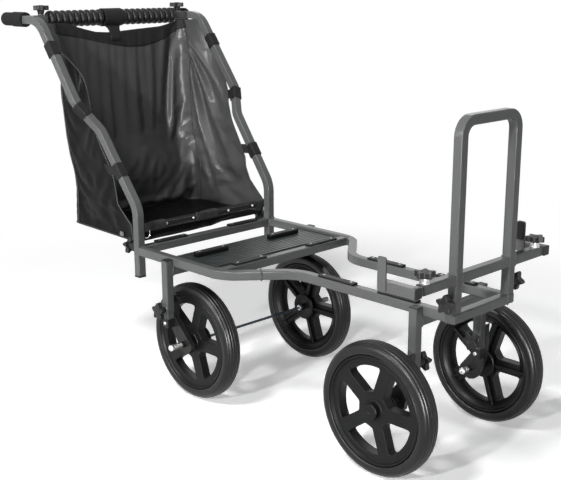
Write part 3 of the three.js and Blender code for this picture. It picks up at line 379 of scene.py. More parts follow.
def solid_piece(name, mesh, body, slot, *nodes, wall=0.0):
    """A finished piece that rides on its body. Its mesh is smooth, with flat faces kept flat."""
    made = new_object(name, mesh)
    mesh.shade_smooth()
    if wall:
        shell = made.modifiers.new("wall", "SOLIDIFY")
        shell.thickness = wall
        shell.offset = -1.0
        shell.use_even_offset = True
    flat = made.modifiers.new("flat faces", "WEIGHTED_NORMAL")
    flat.keep_sharp = True
    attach(made, body)
    if nodes:
        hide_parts(*nodes)
    return made


def tube_run(name, corners, side, body, *nodes, hollow=True, width=tube_width, corner=tube_corner):
    """A run of square tube on its body. A hollow one keeps its open ends and gets its wall inwards."""
    mesh = grown(name, line_mesh(name, bent_line(corners)), tube_tree, width=width, side=side,
                 corner_radius=corner, closed_ends=not hollow, finish=frame_coat)
    return solid_piece(name, outward(mesh), body, "frame", *nodes, wall=tube_wall if hollow else 0.0)


def outward(mesh):
    """The mesh with its doubles merged and its faces pointing out."""
    work = bmesh.new()
    work.from_mesh(mesh)
    bmesh.ops.remove_doubles(work, verts=work.verts, dist=0.005 * mm)
    bmesh.ops.recalc_face_normals(work, faces=work.faces)
    work.to_mesh(mesh)
    work.free()
    return mesh


along_y = (0.0, 1.0, 0.0)
along_x = (1.0, 0.0, 0.0)
swan_radius = 93
nose_line = 12.5
front_cross_line = 679.5
inner_bar = {"hollow": False, "width": 20.4 * mm, "corner": 1.5 * mm}


def straight_run(name, start, end, side, body, *nodes, **section):
    """A straight run of tube between two points, each given as behind, across, height."""
    return tube_run(name, [(spot(*start), 0), (spot(*end), 0)], side, body, *nodes, **section)


for side_name, side in sides.items():
    across = side * rail_rear_half
    tube_run(f"rail_tube_{side_name}", [
        (spot(1016, across, rail_line), 0),
        (spot(657, across, rail_line), swan_radius),
        (spot(528.5, side * rail_front_half, rail_line), swan_radius),
        (spot(25.4, side * rail_front_half, rail_line), 0),
    ], along_y, "deck", f"rail_{side_name}")
    straight_run(f"corner_socket_{side_name}", (corner_behind, across, 326), (corner_behind, across, 440),
                 along_y, "deck", f"rail_{side_name}")
straight_run("nose_tube", (nose_line, -deck_half_front, rail_line), (nose_line, deck_half_front, rail_line),
             along_x, "deck", "nose_bar", hollow=False)
for side_name, side in sides.items():
    across = side * rail_front_half
    straight_run(f"hoop_spigot_{side_name}", (nose_line, across, 412), (nose_line, across, 475),
                 along_x, "deck", "nose_bar", **inner_bar)
for name, behind, half in [("rear", corner_behind, 249.4), ("front", front_cross_line, 247.6)]:
    straight_run(f"{name}_cross_tube", (behind, -half, rail_line), (behind, half, rail_line),
                 along_x, "deck", f"crossbar_{name}")

axles = {
    "rear": dict(behind=865.5, half=287.5, bar=275.5, top=409, axle=814.3, wheel=229.0, out=1),
    "front": dict(behind=105.5, half=134.4, bar=122.4, top=412, axle=139.0, wheel=223.7, out=-1),
}
axle_line = 375.2
post_foot = 237
for axle_name, axle in axles.items():
    behind = axle["behind"]
    straight_run(f"axle_bar_{axle_name}", (behind, -axle["bar"], axle_line), (behind, axle["bar"], axle_line),
                 along_x, "deck", f"axle_frame_{axle_name}")
    for side_name, side in sides.items():
        across = side * axle["half"]
        straight_run(f"wheel_post_{axle_name}_{side_name}", (behind, across, post_foot),
                     (behind, across, axle["top"] - 2.5), along_y, "deck", f"axle_frame_{axle_name}")


def corner_point(start, corner, end, share):
    """The point at a share of the soft curve that replaces a corner."""
    return tuple((1 - share) ** 2 * start + 2 * share * (1 - share) * corner + share ** 2 * end)


def eased(points, radius, steps=3, closed=False):
    """An outline with an arc of this radius at each corner, or a shorter one where the sides are short."""
    rounded = []
    count = len(points)
    for i, here in enumerate(points):
        if not closed and i in (0, count - 1):
            rounded.append(tuple(here))
            continue
        here = Vector(here)
        before = Vector(points[i - 1]) - here
        after = Vector(points[(i + 1) % count]) - here
        half = before.angle(after) / 2
        reach = min(radius / max(math.tan(half), 1e-6), 0.48 * before.length, 0.48 * after.length)
        if abs(half - math.pi / 2) < 0.02:
            rounded.append(tuple(here))
            continue
        start = here + before.normalized() * reach
        end = here + after.normalized() * reach
        for step in range(steps + 1):
            rounded.append(corner_point(start, here, end, step / steps))
    return rounded


def turned(name, outline, turns=48, finish=None):
    """A mesh turned about Z from an outline of (radius, height) in mm, from its lower end up."""
    mesh = bpy.data.meshes.new(name)
    work = bmesh.new()
    rings = []
    for radius, height in [(r * mm, h * mm) for r, h in outline]:
        if radius < 1e-7:
            rings.append([work.verts.new((0, 0, height))])
            continue
        rings.append([
            work.verts.new((radius * math.cos(a), radius * math.sin(a), height))
            for a in (2 * math.pi * i / turns for i in range(turns))
        ])
    for low, high in zip(rings, rings[1:]):
        for i in range(turns):
            j = (i + 1) % turns
            corners = [low[i % len(low)], low[j % len(low)], high[j % len(high)], high[i % len(high)]]
            corners = [v for k, v in enumerate(corners) if v not in corners[:k]]
            if len(corners) > 2:
                work.faces.new(corners)
    bmesh.ops.remove_doubles(work, verts=work.verts, dist=1e-7)
    bmesh.ops.recalc_face_normals(work, faces=work.faces)
    work.to_mesh(mesh)
    work.free()
    if finish:
        mesh.materials.append(finish)
    return mesh


def placed(mesh, at, toward=(0, 0, 1)):
    """The mesh turned so that its Z points toward, and moved to its place."""
    mesh.transform(Matrix.Translation(at) @ Vector(toward).to_track_quat("Z", "Y").to_matrix().to_4x4())
    return mesh


def joined(name, *meshes, finish=None):
    """One mesh of several, each with its own material unless one finish is given."""
    work = bmesh.new()
    finishes = []
    for mesh in meshes:
        first = len(work.faces)
        work.from_mesh(mesh)
        own = finish or (mesh.materials[0] if mesh.materials else None)
        if own not in finishes:
            finishes.append(own)
        work.faces.ensure_lookup_table()
        for face in work.faces[first:]:
            face.material_index = finishes.index(own)
    made = bpy.data.meshes.new(name)
    work.to_mesh(made)
    work.free()
    for one in finishes:
        made.materials.append(one)
    return made


def slab(name, outline, low, high, rounding=0.0, finish=None, origin=0.0):
    """A plate cut to an outline of (x, z), from y low to high, all in mm, with its edges rounded."""
    work = bmesh.new()
    front = [work.verts.new((origin + x * mm, low * mm, z * mm)) for x, z in outline]
    back = [work.verts.new((origin + x * mm, high * mm, z * mm)) for x, z in outline]
    work.faces.new(front)
    work.faces.new(list(reversed(back)))
    for i in range(len(front)):
        j = (i + 1) % len(front)
        work.faces.new((front[j], front[i], back[i], back[j]))
    bmesh.ops.recalc_face_normals(work, faces=work.faces)
    if rounding:
        rim = [e for e in work.edges if e.verts[0].co.y == e.verts[1].co.y]
        bmesh.ops.bevel(work, geom=rim, offset=rounding * mm, segments=2, profile=0.5, affect="EDGES",
                        clamp_overlap=True)
    mesh = bpy.data.meshes.new(name)
    work.to_mesh(mesh)
    work.free()
    if finish:
        mesh.materials.append(finish)
    return mesh


# Black nylon plugs close the tubes: one under each corner socket, one on each wheel post and one in the front
# of each retainer arm. They are moulded with a fine grain.
black_nylon = finish_of(
    "black moulded nylon", (0.012, 0.012, 0.013), (0.018, 0.018, 0.019),
    roughness=0.42, change=0.12, blotch=30.0, grain=1600.0, bump=0.25, shine=0.22,
)
plug_ease = 0.8


def square_plug(name, at, toward, width, depth, body):
    """A square cap that sits on a tube's end, its face at the point and its back behind it."""
    half = width / 2
    outline = eased([(-half, -half), (half, -half), (half, half), (-half, half)], 3.0, 4, closed=True)
    mesh = slab(name, outline, 0, depth, plug_ease, black_nylon)
    mesh.transform(Matrix.Rotation(math.radians(90), 4, "X"))
    placed(mesh, at, toward)
    return solid_piece(name, mesh, body, "plastic")


upward = (0, 0, 1)
cap_widths = {"rear": 25.4, "front": 25}
cap_depth = 2.6
for side_name, side in sides.items():
    socket_foot = spot(corner_behind, side * rail_rear_half, 320)
    square_plug(f"socket_plug_{side_name}", socket_foot, upward, 25, 6.2, "deck")
    for axle_name, axle in axles.items():
        post_head = spot(axle["behind"], side * axle["half"], axle["top"] - cap_depth)
        cap_width = cap_widths[axle_name]
        square_plug(f"post_cap_{axle_name}_{side_name}", post_head, upward, cap_width, cap_depth, "deck")

# The footboard is an extruded plank with eleven grooves across the deck, anodised dark grey.
# Its ribs come from one Geometry Nodes line of rounded battens on a plain base.
plank_finish = finish_of(
    "dark anodised plank", (0.022, 0.028, 0.027), (0.032, 0.039, 0.038),
    roughness=0.36, change=0.14, blotch=26.0, grain=1300.0, bump=0.12, metallic=0.4,
)
plank_front = 725
plank_rear = 892
plank_half = 249.4
plank_top = 405
plank_base = 393
rib_count = 12
rib_gap = 3.0
groove_depth = 2.5

rib_tree = group_tree("row of pieces", "GeometryNodeTree", [
    ("Geometry", "Geometry"), ("count", "Int", 2), ("start", "Vector", (0.0, 0.0, 0.0)),
    ("step", "Vector", (0.0, 0.0, 0.0)), ("finish", "Material"),
], [("Geometry", "Geometry")])
row = group_nodes(
    rib_tree, line="GeometryNodeMeshLine", each="GeometryNodeInstanceOnPoints",
    whole="GeometryNodeRealizeInstances", painted="GeometryNodeSetMaterial",
)
wired(
    rib_tree, row,
    "ends_in.count > line.Count", "ends_in.start > line.Start Location", "ends_in.step > line.Offset",
    "line.Mesh > each.Points", "ends_in.Geometry > each.Instance", "each.Instances > whole.Geometry",
    "whole.Geometry > painted.Geometry", "ends_in.finish > painted.Material",
    "painted.Geometry > ends_out.Geometry",
)

rib_pitch = (plank_rear - plank_front) / rib_count
rib_half = (rib_pitch - rib_gap) / 2
rib_sunk = -0.4
rib_outline = eased([
    (-rib_half, rib_sunk), (-rib_half, groove_depth), (rib_half, groove_depth), (rib_half, rib_sunk),
], 0.7)
rib_mesh = slab("plank rib", rib_outline, -plank_half, plank_half)
ribs = grown("plank ribs", rib_mesh, rib_tree, count=rib_count, finish=plank_finish,
             start=spot(plank_front + rib_pitch / 2, 0, plank_top - groove_depth),
             step=(-rib_pitch * mm, 0.0, 0.0))
base_outline = eased([
    (-plank_rear, plank_base), (-plank_front, plank_base),
    (-plank_front, plank_top - groove_depth), (-plank_rear, plank_top - groove_depth),
], 0.6, closed=True)
plank_slab = slab("plank base", base_outline, -plank_half, plank_half, finish=plank_finish, origin=nose)
plank_whole = joined("ribbed_plank", ribs, plank_slab, finish=plank_finish)
solid_piece("ribbed_plank", plank_whole, "deck", "panel", "deck_panel")

# Ten rubber strips keep the load off the coated steel. Each is held by two plated pan-head screws.
pad_rubber = finish_of(
    "black rubber", (0.010, 0.010, 0.010), (0.016, 0.016, 0.016),
    roughness=0.46, change=0.16, blotch=40.0, grain=1200.0, bump=0.3, shine=0.22,
)
plated_steel = finish_of(
    "plated steel", (0.62, 0.62, 0.61), (0.50, 0.50, 0.49),
    roughness=0.24, change=0.16, blotch=60.0, grain=900.0, bump=0.1, metallic=1.0,
)
pad_width = 21
pad_top = 419
pad_ease = 1.8
screw_inset = 14
screw_radius = 3.6
screw_rise = 1.5
screw_sink = 0.6


def pad_strip(name, behind, across, base, length, crosswise):
    """A rubber strip with rounded upper edges, on a bar along the deck or across it."""
    height = pad_top - base
    work = bmesh.new()
    bmesh.ops.create_cube(work, size=1.0)
    long_side = (pad_width, length) if crosswise else (length, pad_width)
    bmesh.ops.scale(work, vec=(long_side[0] * mm, long_side[1] * mm, height * mm), verts=work.verts)
    bmesh.ops.translate(work, vec=spot(behind, across, base + height / 2), verts=work.verts)
    upright = [e for e in work.edges if abs(e.verts[0].co.z - e.verts[1].co.z) > height * mm / 2]
    bmesh.ops.bevel(work, geom=upright, offset=pad_ease * mm, segments=3, profile=0.5, affect="EDGES")
    crown = [e for e in work.edges if min(v.co.z for v in e.verts) > (pad_top - 0.1) * mm]
    bmesh.ops.bevel(work, geom=crown, offset=pad_ease * mm, segments=3, profile=0.5, affect="EDGES")
    mesh = bpy.data.meshes.new(name)
    work.to_mesh(mesh)
    work.free()
    mesh.materials.append(pad_rubber)
    return solid_piece(name + "_strip", mesh, "deck", "rubber", name)


screw_outline = [(0, -2.0), (screw_radius, -2.0), (screw_radius, 0)] + [
    (screw_radius * out_share, screw_rise * rise_share)
    for out_share, rise_share in [(0.86, 0.55), (0.5, 0.92), (0.2, 1.0), (0.16, 0.3), (0, 0.3)]
]
bar_crown = 413.3
cross_pads = {
    "rear": (corner_behind, bar_crown), "panel": (842, 405.3), "front": (front_cross_line, bar_crown),
}
rail_pads = {"near": [381, 178], "far": [400, 165]}
pads = []
for side_name, side in sides.items():
    for name, (behind, base) in cross_pads.items():
        pads.append((f"pad_{name}_{side_name}", behind, side * 144, base, 116, True))
for side_name, side in sides.items():
    for i, behind in enumerate(rail_pads[side_name]):
        pads.append((f"pad_rail_{side_name}_{i + 1}", behind, side * rail_front_half, bar_crown, 122, False))
screw_spots = []
for name, behind, across, base, length, crosswise in pads:
    pad_strip(name, behind, across, base, length, crosswise)
    for end in (-1, 1):
        shift = end * (length / 2 - screw_inset)
        along, aside = (0, shift) if crosswise else (shift, 0)
        screw_spots.append(spot(behind - along, across + aside, pad_top - screw_sink))

point_tree = group_tree("piece at each point", "GeometryNodeTree", [
    ("Geometry", "Geometry"), ("piece", "Object"), ("facing", "Vector", (0.0, 0.0, 1.0)),
    ("size", "Float", 1.0), ("finish", "Material"),
], [("Geometry", "Geometry")])
points = group_nodes(
    point_tree, model="GeometryNodeObjectInfo", aim="FunctionNodeAlignRotationToVector",
    each="GeometryNodeInstanceOnPoints", whole="GeometryNodeRealizeInstances",
    painted="GeometryNodeSetMaterial",
)
points["aim"].axis = "Z"
wired(
    point_tree, points,
    "ends_in.piece > model.Object", "ends_in.facing > aim.Vector", "aim.Rotation > each.Rotation",
    "ends_in.Geometry > each.Points", "model.Geometry > each.Instance", "ends_in.size > each.Scale",
    "each.Instances > whole.Geometry", "whole.Geometry > painted.Geometry",
    "ends_in.finish > painted.Material", "painted.Geometry > ends_out.Geometry",
)


def scattered(name, piece_mesh, places, facing, finish, size=1.0):
    """One mesh of a small piece repeated at each place, facing one way."""
    model = new_object(name + " model", piece_mesh)
    host = bpy.data.meshes.new(name + " places")
    host.from_pydata([tuple(p) for p in places], [], [])
    made = grown(name, host, point_tree, piece=model, facing=facing, size=size, finish=finish)
    bpy.data.objects.remove(model)
    return made


screw_mesh = turned("pan head screw", screw_outline, 16)
screws = scattered("pad_screws", screw_mesh, screw_spots, upward, plated_steel)
solid_piece("pad_screws", screws, "deck", "chrome")

# The wheels are one moulding each: a lipped band, five deep spokes with rounded windows and a hub. A solid
# tyre of glossy rubber with ridges round its tread is pressed on.
wheel_radius = 168.5
axle_height = wheel_radius
tyre_seat = 138.8
wheel_turns = 96
tyre_rubber = finish_of(
    "tyre rubber", (0.004, 0.004, 0.0042), (0.007, 0.007, 0.007),
    roughness=0.29, change=0.08, blotch=14.0, grain=700.0, bump=0.10, shine=0.30,
)
wheel_nylon = finish_of(
    "wheel nylon", (0.0045, 0.0047, 0.0047), (0.0075, 0.0078, 0.0078),
    roughness=0.33, change=0.12, blotch=18.0, grain=1100.0, bump=0.2, shine=0.15,
)

ridge_count = 4
ridge_width = 9.0
ridge_groove = 2.1
ridge_steps = 8
crown_drop = 3.4
tread_half = ridge_count * ridge_width / 2
side_outline = [
    (tyre_seat, -22.6), (tyre_seat + 1.5, -24.6), (143.0, -25.6), (147.5, -26.3), (152.5, -26.4),
    (157.0, -25.2), (160.6, -22.9), (163.2, -20.2),
]


def crown(across):
    """The tread's radius at a distance from the middle of the tyre, before its grooves."""
    return wheel_radius - crown_drop * (abs(across) / tread_half) ** 2.6


tread_outline = []
for i in range(ridge_count):
    for step in range(ridge_steps):
        share = step / ridge_steps
        across = -tread_half + (i + share) * ridge_width
        tread_outline.append((crown(across) - ridge_groove * (1 - math.sin(math.pi * share) ** 0.7), across))
tread_outline.append((crown(tread_half) - ridge_groove, tread_half))
tyre_outline = side_outline + tread_outline + [(r, -y) for r, y in reversed(side_outline)]
tyre_outline.append(tyre_outline[0])

rim_half = 24.0
disc_face = 19.0
disc_depth = 27.0
band_inner = 112.0
band_outline = eased([
    (band_inner, -8.5), (129.0, -20.0), (131.5, -rim_half), (136.0, -rim_half), (138.5, -rim_half + 2.4),
    (138.5, rim_half - 2.4), (136.4, rim_half), (133.0, rim_half), (131.2, disc_face + 2.2),
    (129.6, disc_face - 0.3),
    (band_inner, disc_face - 0.6), (band_inner, -8.5),
], 1.0)
hub_radius = 26.0


def flat_plate(name, outlines, thickness, rounding, steps=3):
    """A plate from closed outlines of (x, y), the later ones holes, with rounded edges and its back at 0."""
    curve = bpy.data.curves.new(name, "CURVE")
    curve.dimensions = "2D"
    curve.fill_mode = "BOTH"
    curve.extrude = (thickness / 2 - rounding) * mm
    curve.bevel_depth = rounding * mm
    curve.offset = -rounding * mm
    curve.bevel_resolution = steps
    for outline in outlines:
        spline = curve.splines.new("POLY")
        spline.points.add(len(outline) - 1)
        for point, (x, y) in zip(spline.points, outline):
            point.co = (x * mm, y * mm, 0.0, 1.0)
        spline.use_cyclic_u = True
    host = new_object(name + " outline", curve)
    evaluated = host.evaluated_get(bpy.context.evaluated_depsgraph_get())
    mesh = bpy.data.meshes.new_from_object(evaluated)
    mesh.name = name
    bpy.data.objects.remove(host)
    mesh.transform(Matrix.Translation((0, 0, thickness / 2 * mm)))
    mesh.materials.clear()
    return outward(mesh)


def ring_points(radius, count):
    """Points evenly round a circle."""
    angles = [2 * math.pi * i / count for i in range(count)]
    return [(radius * math.cos(a), radius * math.sin(a)) for a in angles]


spoke_count = 5
spoke_half = 17.0
window_inner = 47.0
window_outer = 115.0
window_corner = 13.0
arc_steps = 6


def window_outline(turn):
    """A window between two spokes: straight along the spokes, curved along the band, with rounded corners."""
    half_pitch = math.pi / spoke_count
    outline = []
    edge = half_pitch - math.asin(spoke_half / window_outer)
    for share in [i / 8 for i in range(-8, 9)]:
        outline.append((window_outer * math.cos(edge * share), window_outer * math.sin(edge * share)))
    inner = half_pitch - math.asin(spoke_half / window_inner)
    outline.append((window_inner * math.cos(inner), window_inner * math.sin(inner)))
    outline.append((window_inner * math.cos(inner), -window_inner * math.sin(inner)))
    soft = round_corners(outline, {0: window_corner, 16: window_corner, 17: 5.0, 18: 5.0})
    c, s = math.cos(turn), math.sin(turn)
    return [(c * x - s * y, s * x + c * y) for x, y in soft]


def round_corners(outline, radii):
    """A closed outline with an arc at the corners named by their index."""
    result = []
    for i, here in enumerate(outline):
        if i not in radii:
            gaps = [(Vector(here) - Vector(outline[k])).length / radii[k] for k in radii]
            if min(gaps) >= 0.9:
                result.append(tuple(here))
            continue
        before = reach_along(outline, i, -1, radii[i])
        after = reach_along(outline, i, 1, radii[i])
        for step in range(arc_steps + 1):
            result.append(corner_point(before, Vector(here), after, step / arc_steps))
    return result


def reach_along(outline, start, way, distance):
    """The point of a closed outline at a distance along it from one of its corners."""
    count = len(outline)
    here = Vector(outline[start])
    left = distance
    i = start
    while True:
        ahead = Vector(outline[(i + way) % count])
        step = (ahead - here).length
        if step >= left:
            return here + (ahead - here) * (left / step)
        left -= step
        here = ahead
        i += way


def wheel_mould(name, capped):
    """One wheel moulding, its outboard face towards +Z and its middle at the origin."""
    windows = [window_outline(2 * math.pi * (i + 0.5) / spoke_count) for i in range(spoke_count)]
    disc = flat_plate(name + " disc", [ring_points(124.0, wheel_turns), *windows], disc_depth, 1.5)
    disc.transform(Matrix.Translation((0, 0, (disc_face - disc_depth) * mm)))
    band = turned(name + " band", band_outline, wheel_turns)
    parts = [disc, band]
    hub = eased([
        (9.0, -rim_half), (38.0, -rim_half), (40.0, -rim_half + 1.5), (40.0, -18.0), (30.0, -15.0),
        (hub_radius + 1, -8.0),
        (hub_radius, disc_face - 1.0), (9.0, disc_face - 1.0), (9.0, -rim_half),
    ], 1.2)
    parts.append(turned(name + " hub", hub, 64))
    face_ring = eased([
        (22.5, disc_face - 1.0), (22.8, disc_face + 1.6), (26.5, disc_face + 1.6), (28.6, disc_face - 1.0),
    ], 0.8)
    parts.append(turned(name + " face ring", face_ring, 64))
    if capped:
        cap = eased([
            (0, disc_face - 1.0), (19.6, disc_face - 1.0), (20.2, 30.5), (18.2, 33.0), (5.4, 33.0),
            (4.6, 32.0), (0, 32.0),
        ], 0.9)
        parts.append(turned(name + " cap", cap, 64))
    spoke_rib = slab("spoke rib", eased([
        (38.0, -8.0), (38.0, -20.0), (60.0, -17.0), (122.0, -17.0), (126.0, -8.0),
    ], 3.0), -3.2, 3.2, 1.2)
    for i in range(spoke_count):
        rib = spoke_rib.copy()
        rib.transform(Matrix.Rotation(2 * math.pi * i / spoke_count, 4, "Z"))
        parts.append(rib)
    return joined(name, *parts, finish=wheel_nylon)


def laid_across(mesh, axle, side):
    """A wheel's mesh brought from its own axis to its place on an axle, its +Z face outboard."""
    turn = Matrix.Rotation(math.radians(-90 * side), 4, "X")
    at = spot(axle["axle"], side * axle["wheel"], axle_height)
    mesh.transform(Matrix.Translation(at) @ turn)
    return mesh


for axle_name, axle in axles.items():
    for side_name, side in sides.items():
        place = f"{axle_name}_{side_name}"
        body = f"wheel_{place}"
        mould = laid_across(wheel_mould(f"wheel_{place}", axle_name == "front"), axle, side)
        solid_piece(f"moulded_wheel_{place}", mould, body, "rim", f"rim_{place}")
        tyre = turned(f"tyre {place}", tyre_outline, 128, tyre_rubber)
        laid_across(tyre, axle, side)
        solid_piece(f"ridged_tyre_{place}", tyre, body, "tyre", f"tyre_{place}")

# Each wheel hangs on a leg: a black coated steel plate and lug under the post, with the axle through it. The
# leg's bar slides up inside the post. A plated bolt crosses the lug.
leg_coat = finish_of(
    "black coated steel", (0.009, 0.009, 0.009), (0.015, 0.015, 0.014),
    roughness=0.34, change=0.16, blotch=34.0, grain=1000.0, bump=0.16, metallic=0.1, shine=0.3,
)
edge_angle = math.radians(28)


def dressed(node, name, body, finish, rounding, segments=2):
    """A copy of a solid with its flat faces made whole and its edges rounded, which stands for it."""
    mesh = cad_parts[node].data.copy()
    mesh.name = name
    work = bmesh.new()
    work.from_mesh(mesh)
    bmesh.ops.remove_doubles(work, verts=work.verts, dist=0.02 * mm)
    bmesh.ops.dissolve_limit(work, angle_limit=math.radians(1.5), verts=work.verts, edges=work.edges)
    work.to_mesh(mesh)
    work.free()
    mesh.materials.clear()
    mesh.materials.append(finish)
    made = new_object(name, mesh)
    mesh.shade_smooth()
    round_edges = made.modifiers.new("rounded edges", "BEVEL")
    round_edges.width = rounding
    round_edges.segments = segments
    round_edges.limit_method = "ANGLE"
    round_edges.angle_limit = edge_angle
    round_edges.use_clamp_overlap = True
    flat = made.modifiers.new("flat faces", "WEIGHTED_NORMAL")
    flat.keep_sharp = True
    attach(made, body)
    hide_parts(node)
    return made


bolt_head = eased([(0, -1.0), (5.2, -1.0), (5.2, 2.6), (3.4, 3.6), (0, 3.8)], 0.7)
for axle_name, axle in axles.items():
    for side_name, side in sides.items():
        place = f"{axle_name}_{side_name}"
        dressed(f"leg_{place}", f"wheel_leg_{place}", f"leg_{place}", leg_coat, 0.8 * mm)
        bolt = turned(f"lug bolt {place}", bolt_head, 24, plated_steel)
        outboard = side * axle["out"]
        lug_face = axle["half"] * side + outboard * 12.5
        placed(bolt, spot(axle["behind"], lug_face, post_foot - 13), (0, outboard, 0))
        solid_piece(f"lug_bolt_{place}", bolt, f"leg_{place}", "chrome")

# Spring plungers lock the axles: each is a polished ball on a ringed steel stem, and its pin slides in the
# leg's sleeve.
polished = finish_of(
    "polished chrome", (0.80, 0.80, 0.81), (0.70, 0.70, 0.71),
    roughness=0.09, change=0.08, blotch=50.0, grain=700.0, bump=0.02, metallic=1.0,
)
dull_steel = finish_of(
    "oiled steel", (0.10, 0.10, 0.095), (0.16, 0.16, 0.155),
    roughness=0.32, change=0.14, blotch=70.0, grain=900.0, bump=0.1, metallic=1.0,
)
ball_radius = 9.4
stem_neck = 4.4
ring_pitch = 3.4
plunger_reach = {"rear": 34, "front": 19}
for axle_name, axle in axles.items():
    reach = plunger_reach[axle_name]
    for side_name, side in sides.items():
        place = f"{axle_name}_{side_name}"
        pin_low, pin_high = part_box(f"plunger_{place}")
        outboard = side * axle["out"]
        ball_tip = pin_high.y if outboard > 0 else pin_low.y
        stem = [(0, -20.0), (3.4, -20.0), (3.4, -0.2), (7.4, 0.4)]
        ring = 1.2
        while ring < reach - ball_radius * 0.9:
            stem += [(8.0, ring), (8.0, ring + 1.6), (6.4, ring + 2.1), (6.4, ring + 2.8)]
            ring += ring_pitch
        foot = math.asin(stem_neck / ball_radius)
        ball = [
            (ball_radius * math.sin(a), reach - ball_radius * math.cos(a))
            for a in (foot + (math.pi - foot) * i / 16 for i in range(16))
        ]
        ball_low = ball[0][1]
        stem += [(stem_neck, ball_low - 0.2), (0, ball_low - 0.2)]
        ball = [(0, ball_low - 0.6), *ball, (0, reach + ball_radius)]
        stem_mesh = turned(f"plunger stem {place}", stem, 32, dull_steel)
        ball_mesh = turned(f"plunger ball {place}", ball, 40, polished)
        base_y = ball_tip - outboard * (reach + ball_radius) * mm
        base = Vector(((pin_low.x + pin_high.x) / 2, base_y, axle_height * mm))
        whole = joined(f"ball_plunger_{place}", stem_mesh, ball_mesh)
        placed(whole, base, (0, outboard, 0))
        solid_piece(f"ball_plunger_{place}", whole, f"plunger_{place}", "chrome", f"plunger_{place}")

# A round rod with a plated nut at each end ties the two rear axles, so that both wheels drop at once.
rod_steel = finish_of(
    "blued steel rod", (0.045, 0.060, 0.075), (0.06, 0.078, 0.095),
    roughness=0.30, change=0.10, blotch=30.0, grain=900.0, bump=0.1, metallic=0.8,
)
rod_half = 194.7
nut_tall = 8.0
nut_inset = 5.0


def round_bar(name, radius, half, turns, finish):
    """A round bar with eased ends, along Z and centred on the origin."""
    return turned(name, eased([(0, -half), (radius, -half), (radius, half), (0, half)], 0.8), turns, finish)


rod_ends = [round_bar("tie rod bar", 4, rod_half, 24, rod_steel)]
for end in (-1, 1):
    nut = flat_plate(f"rod nut {end}", [ring_points(9.0, 6)], nut_tall, 0.7)
    nut.materials.append(plated_steel)
    nut.transform(Matrix.Translation((0, 0, (end * (rod_half - nut_inset) - nut_tall / 2) * mm)))
    rod_ends.append(nut)
rod_whole = joined("axle_tie_rod", *rod_ends)
placed(rod_whole, spot(axles["rear"]["axle"], 0, axle_height), along_y)
solid_piece("axle_tie_rod", rod_whole, "leg_rear_near", "chrome", "tie_rod")

# The hoop at the nose is one bent tube that stands over two spigots. A crossbar welded through it takes the
# stubs of two retainer arms, each with an upright plate and a strip of foam against the load.
hoop_line = 861.5
hoop_bend = 37.5
hoop_bar_line = 496.5
tube_run("hoop_tube", [
    (spot(nose_line, -rail_front_half, bar_crown), 0),
    (spot(nose_line, -rail_front_half, hoop_line), hoop_bend),
    (spot(nose_line, rail_front_half, hoop_line), hoop_bend),
    (spot(nose_line, rail_front_half, bar_crown), 0),
], along_x, "hoop", "hoop")
for name, low, high in [("near", -240, -120.8), ("middle", -97.4, 97.4), ("far", 120.8, 240)]:
    straight_run(f"hoop_crossbar_{name}", (nose_line, low, hoop_bar_line), (nose_line, high, hoop_bar_line),
                 along_x, "hoop", "hoop")

foam_black = finish_of(
    "black foam", (0.006, 0.006, 0.006), (0.011, 0.011, 0.011),
    roughness=0.82, change=0.1, blotch=60.0, grain=1500.0, bump=0.5, shine=0.2,
)
arms = {
    "near": dict(line=265.0, length=104, top=567, face=277.5, out=1),
    "far": dict(line=256.5, length=78, top=565, face=244.0, out=-1),
}
arm_front = 3.7
stub_start = 135
plate_foot = 484
plate_wide = 25
plate_thick = 3
foam_tall = 46
foam_inset = 2
foam_gap = 0.2
foam_thick = 3.4


def plate_corners(left, right, low, high):
    """The corners of an upright plate, from its lower left one round."""
    return [(left, low), (right, low), (right, high), (left, high)]


for side_name, side in sides.items():
    arm = arms[side_name]
    body = f"arm_{side_name}"
    across = side * arm["line"]
    straight_run(f"arm_tube_{side_name}", (arm["length"], across, hoop_bar_line),
                 (-arm_front + 3, across, hoop_bar_line), along_y, body, body)
    straight_run(f"arm_stub_{side_name}", (nose_line, side * stub_start, hoop_bar_line),
                 (nose_line, side * (arm["line"] - 11.8), hoop_bar_line), along_x, body, body, **inner_bar)
    arm_end = spot(-arm_front + 3.1, across, hoop_bar_line)
    square_plug(f"arm_cap_{side_name}", arm_end, along_x, 24.8, 3.0, body)
    rear = -arm["length"]
    faces = [side * (arm["face"] - arm["out"]), side * (arm["face"] + arm["out"] * plate_thick)]
    plate_outline = eased(plate_corners(rear, rear + plate_wide, plate_foot, arm["top"]), 7.0, 5, closed=True)
    plate = slab(f"arm_plate_{side_name}", plate_outline, min(faces), max(faces), 0.5, frame_coat, nose)
    solid_piece(f"arm_plate_{side_name}", plate, body, "frame", body)
    load_face = arm["face"] - (plate_thick if arm["out"] < 0 else 0)
    faces = [side * (load_face - foam_gap), side * (load_face - foam_gap - foam_thick)]
    foam_high = arm["top"] - foam_inset
    foam_outline = eased(plate_corners(
        rear + foam_inset, rear + plate_wide - foam_inset, foam_high - foam_tall, foam_high,
    ), 6.0, 5, closed=True)
    foam = slab(f"arm_foam_{side_name}", foam_outline, min(faces), max(faces), 1.0, foam_black, nose)
    foam_piece = solid_piece(f"arm_foam_{side_name}", foam, body, "foam", f"arm_pad_{side_name}")

# The push handle is two bent tubes: upright at the foot, leaning back from the knee, splayed halfway up and
# level at the top. Each has a neck that slides into its corner socket and a welded socket for the push bar.
knee_height = 525
grip_line = 1052.5
handle_setback = 391.8
lean_run = handle_setback / (grip_line - knee_height)


def lean_behind(height):
    return corner_behind + (height - knee_height) * lean_run


handle_half = 312.5


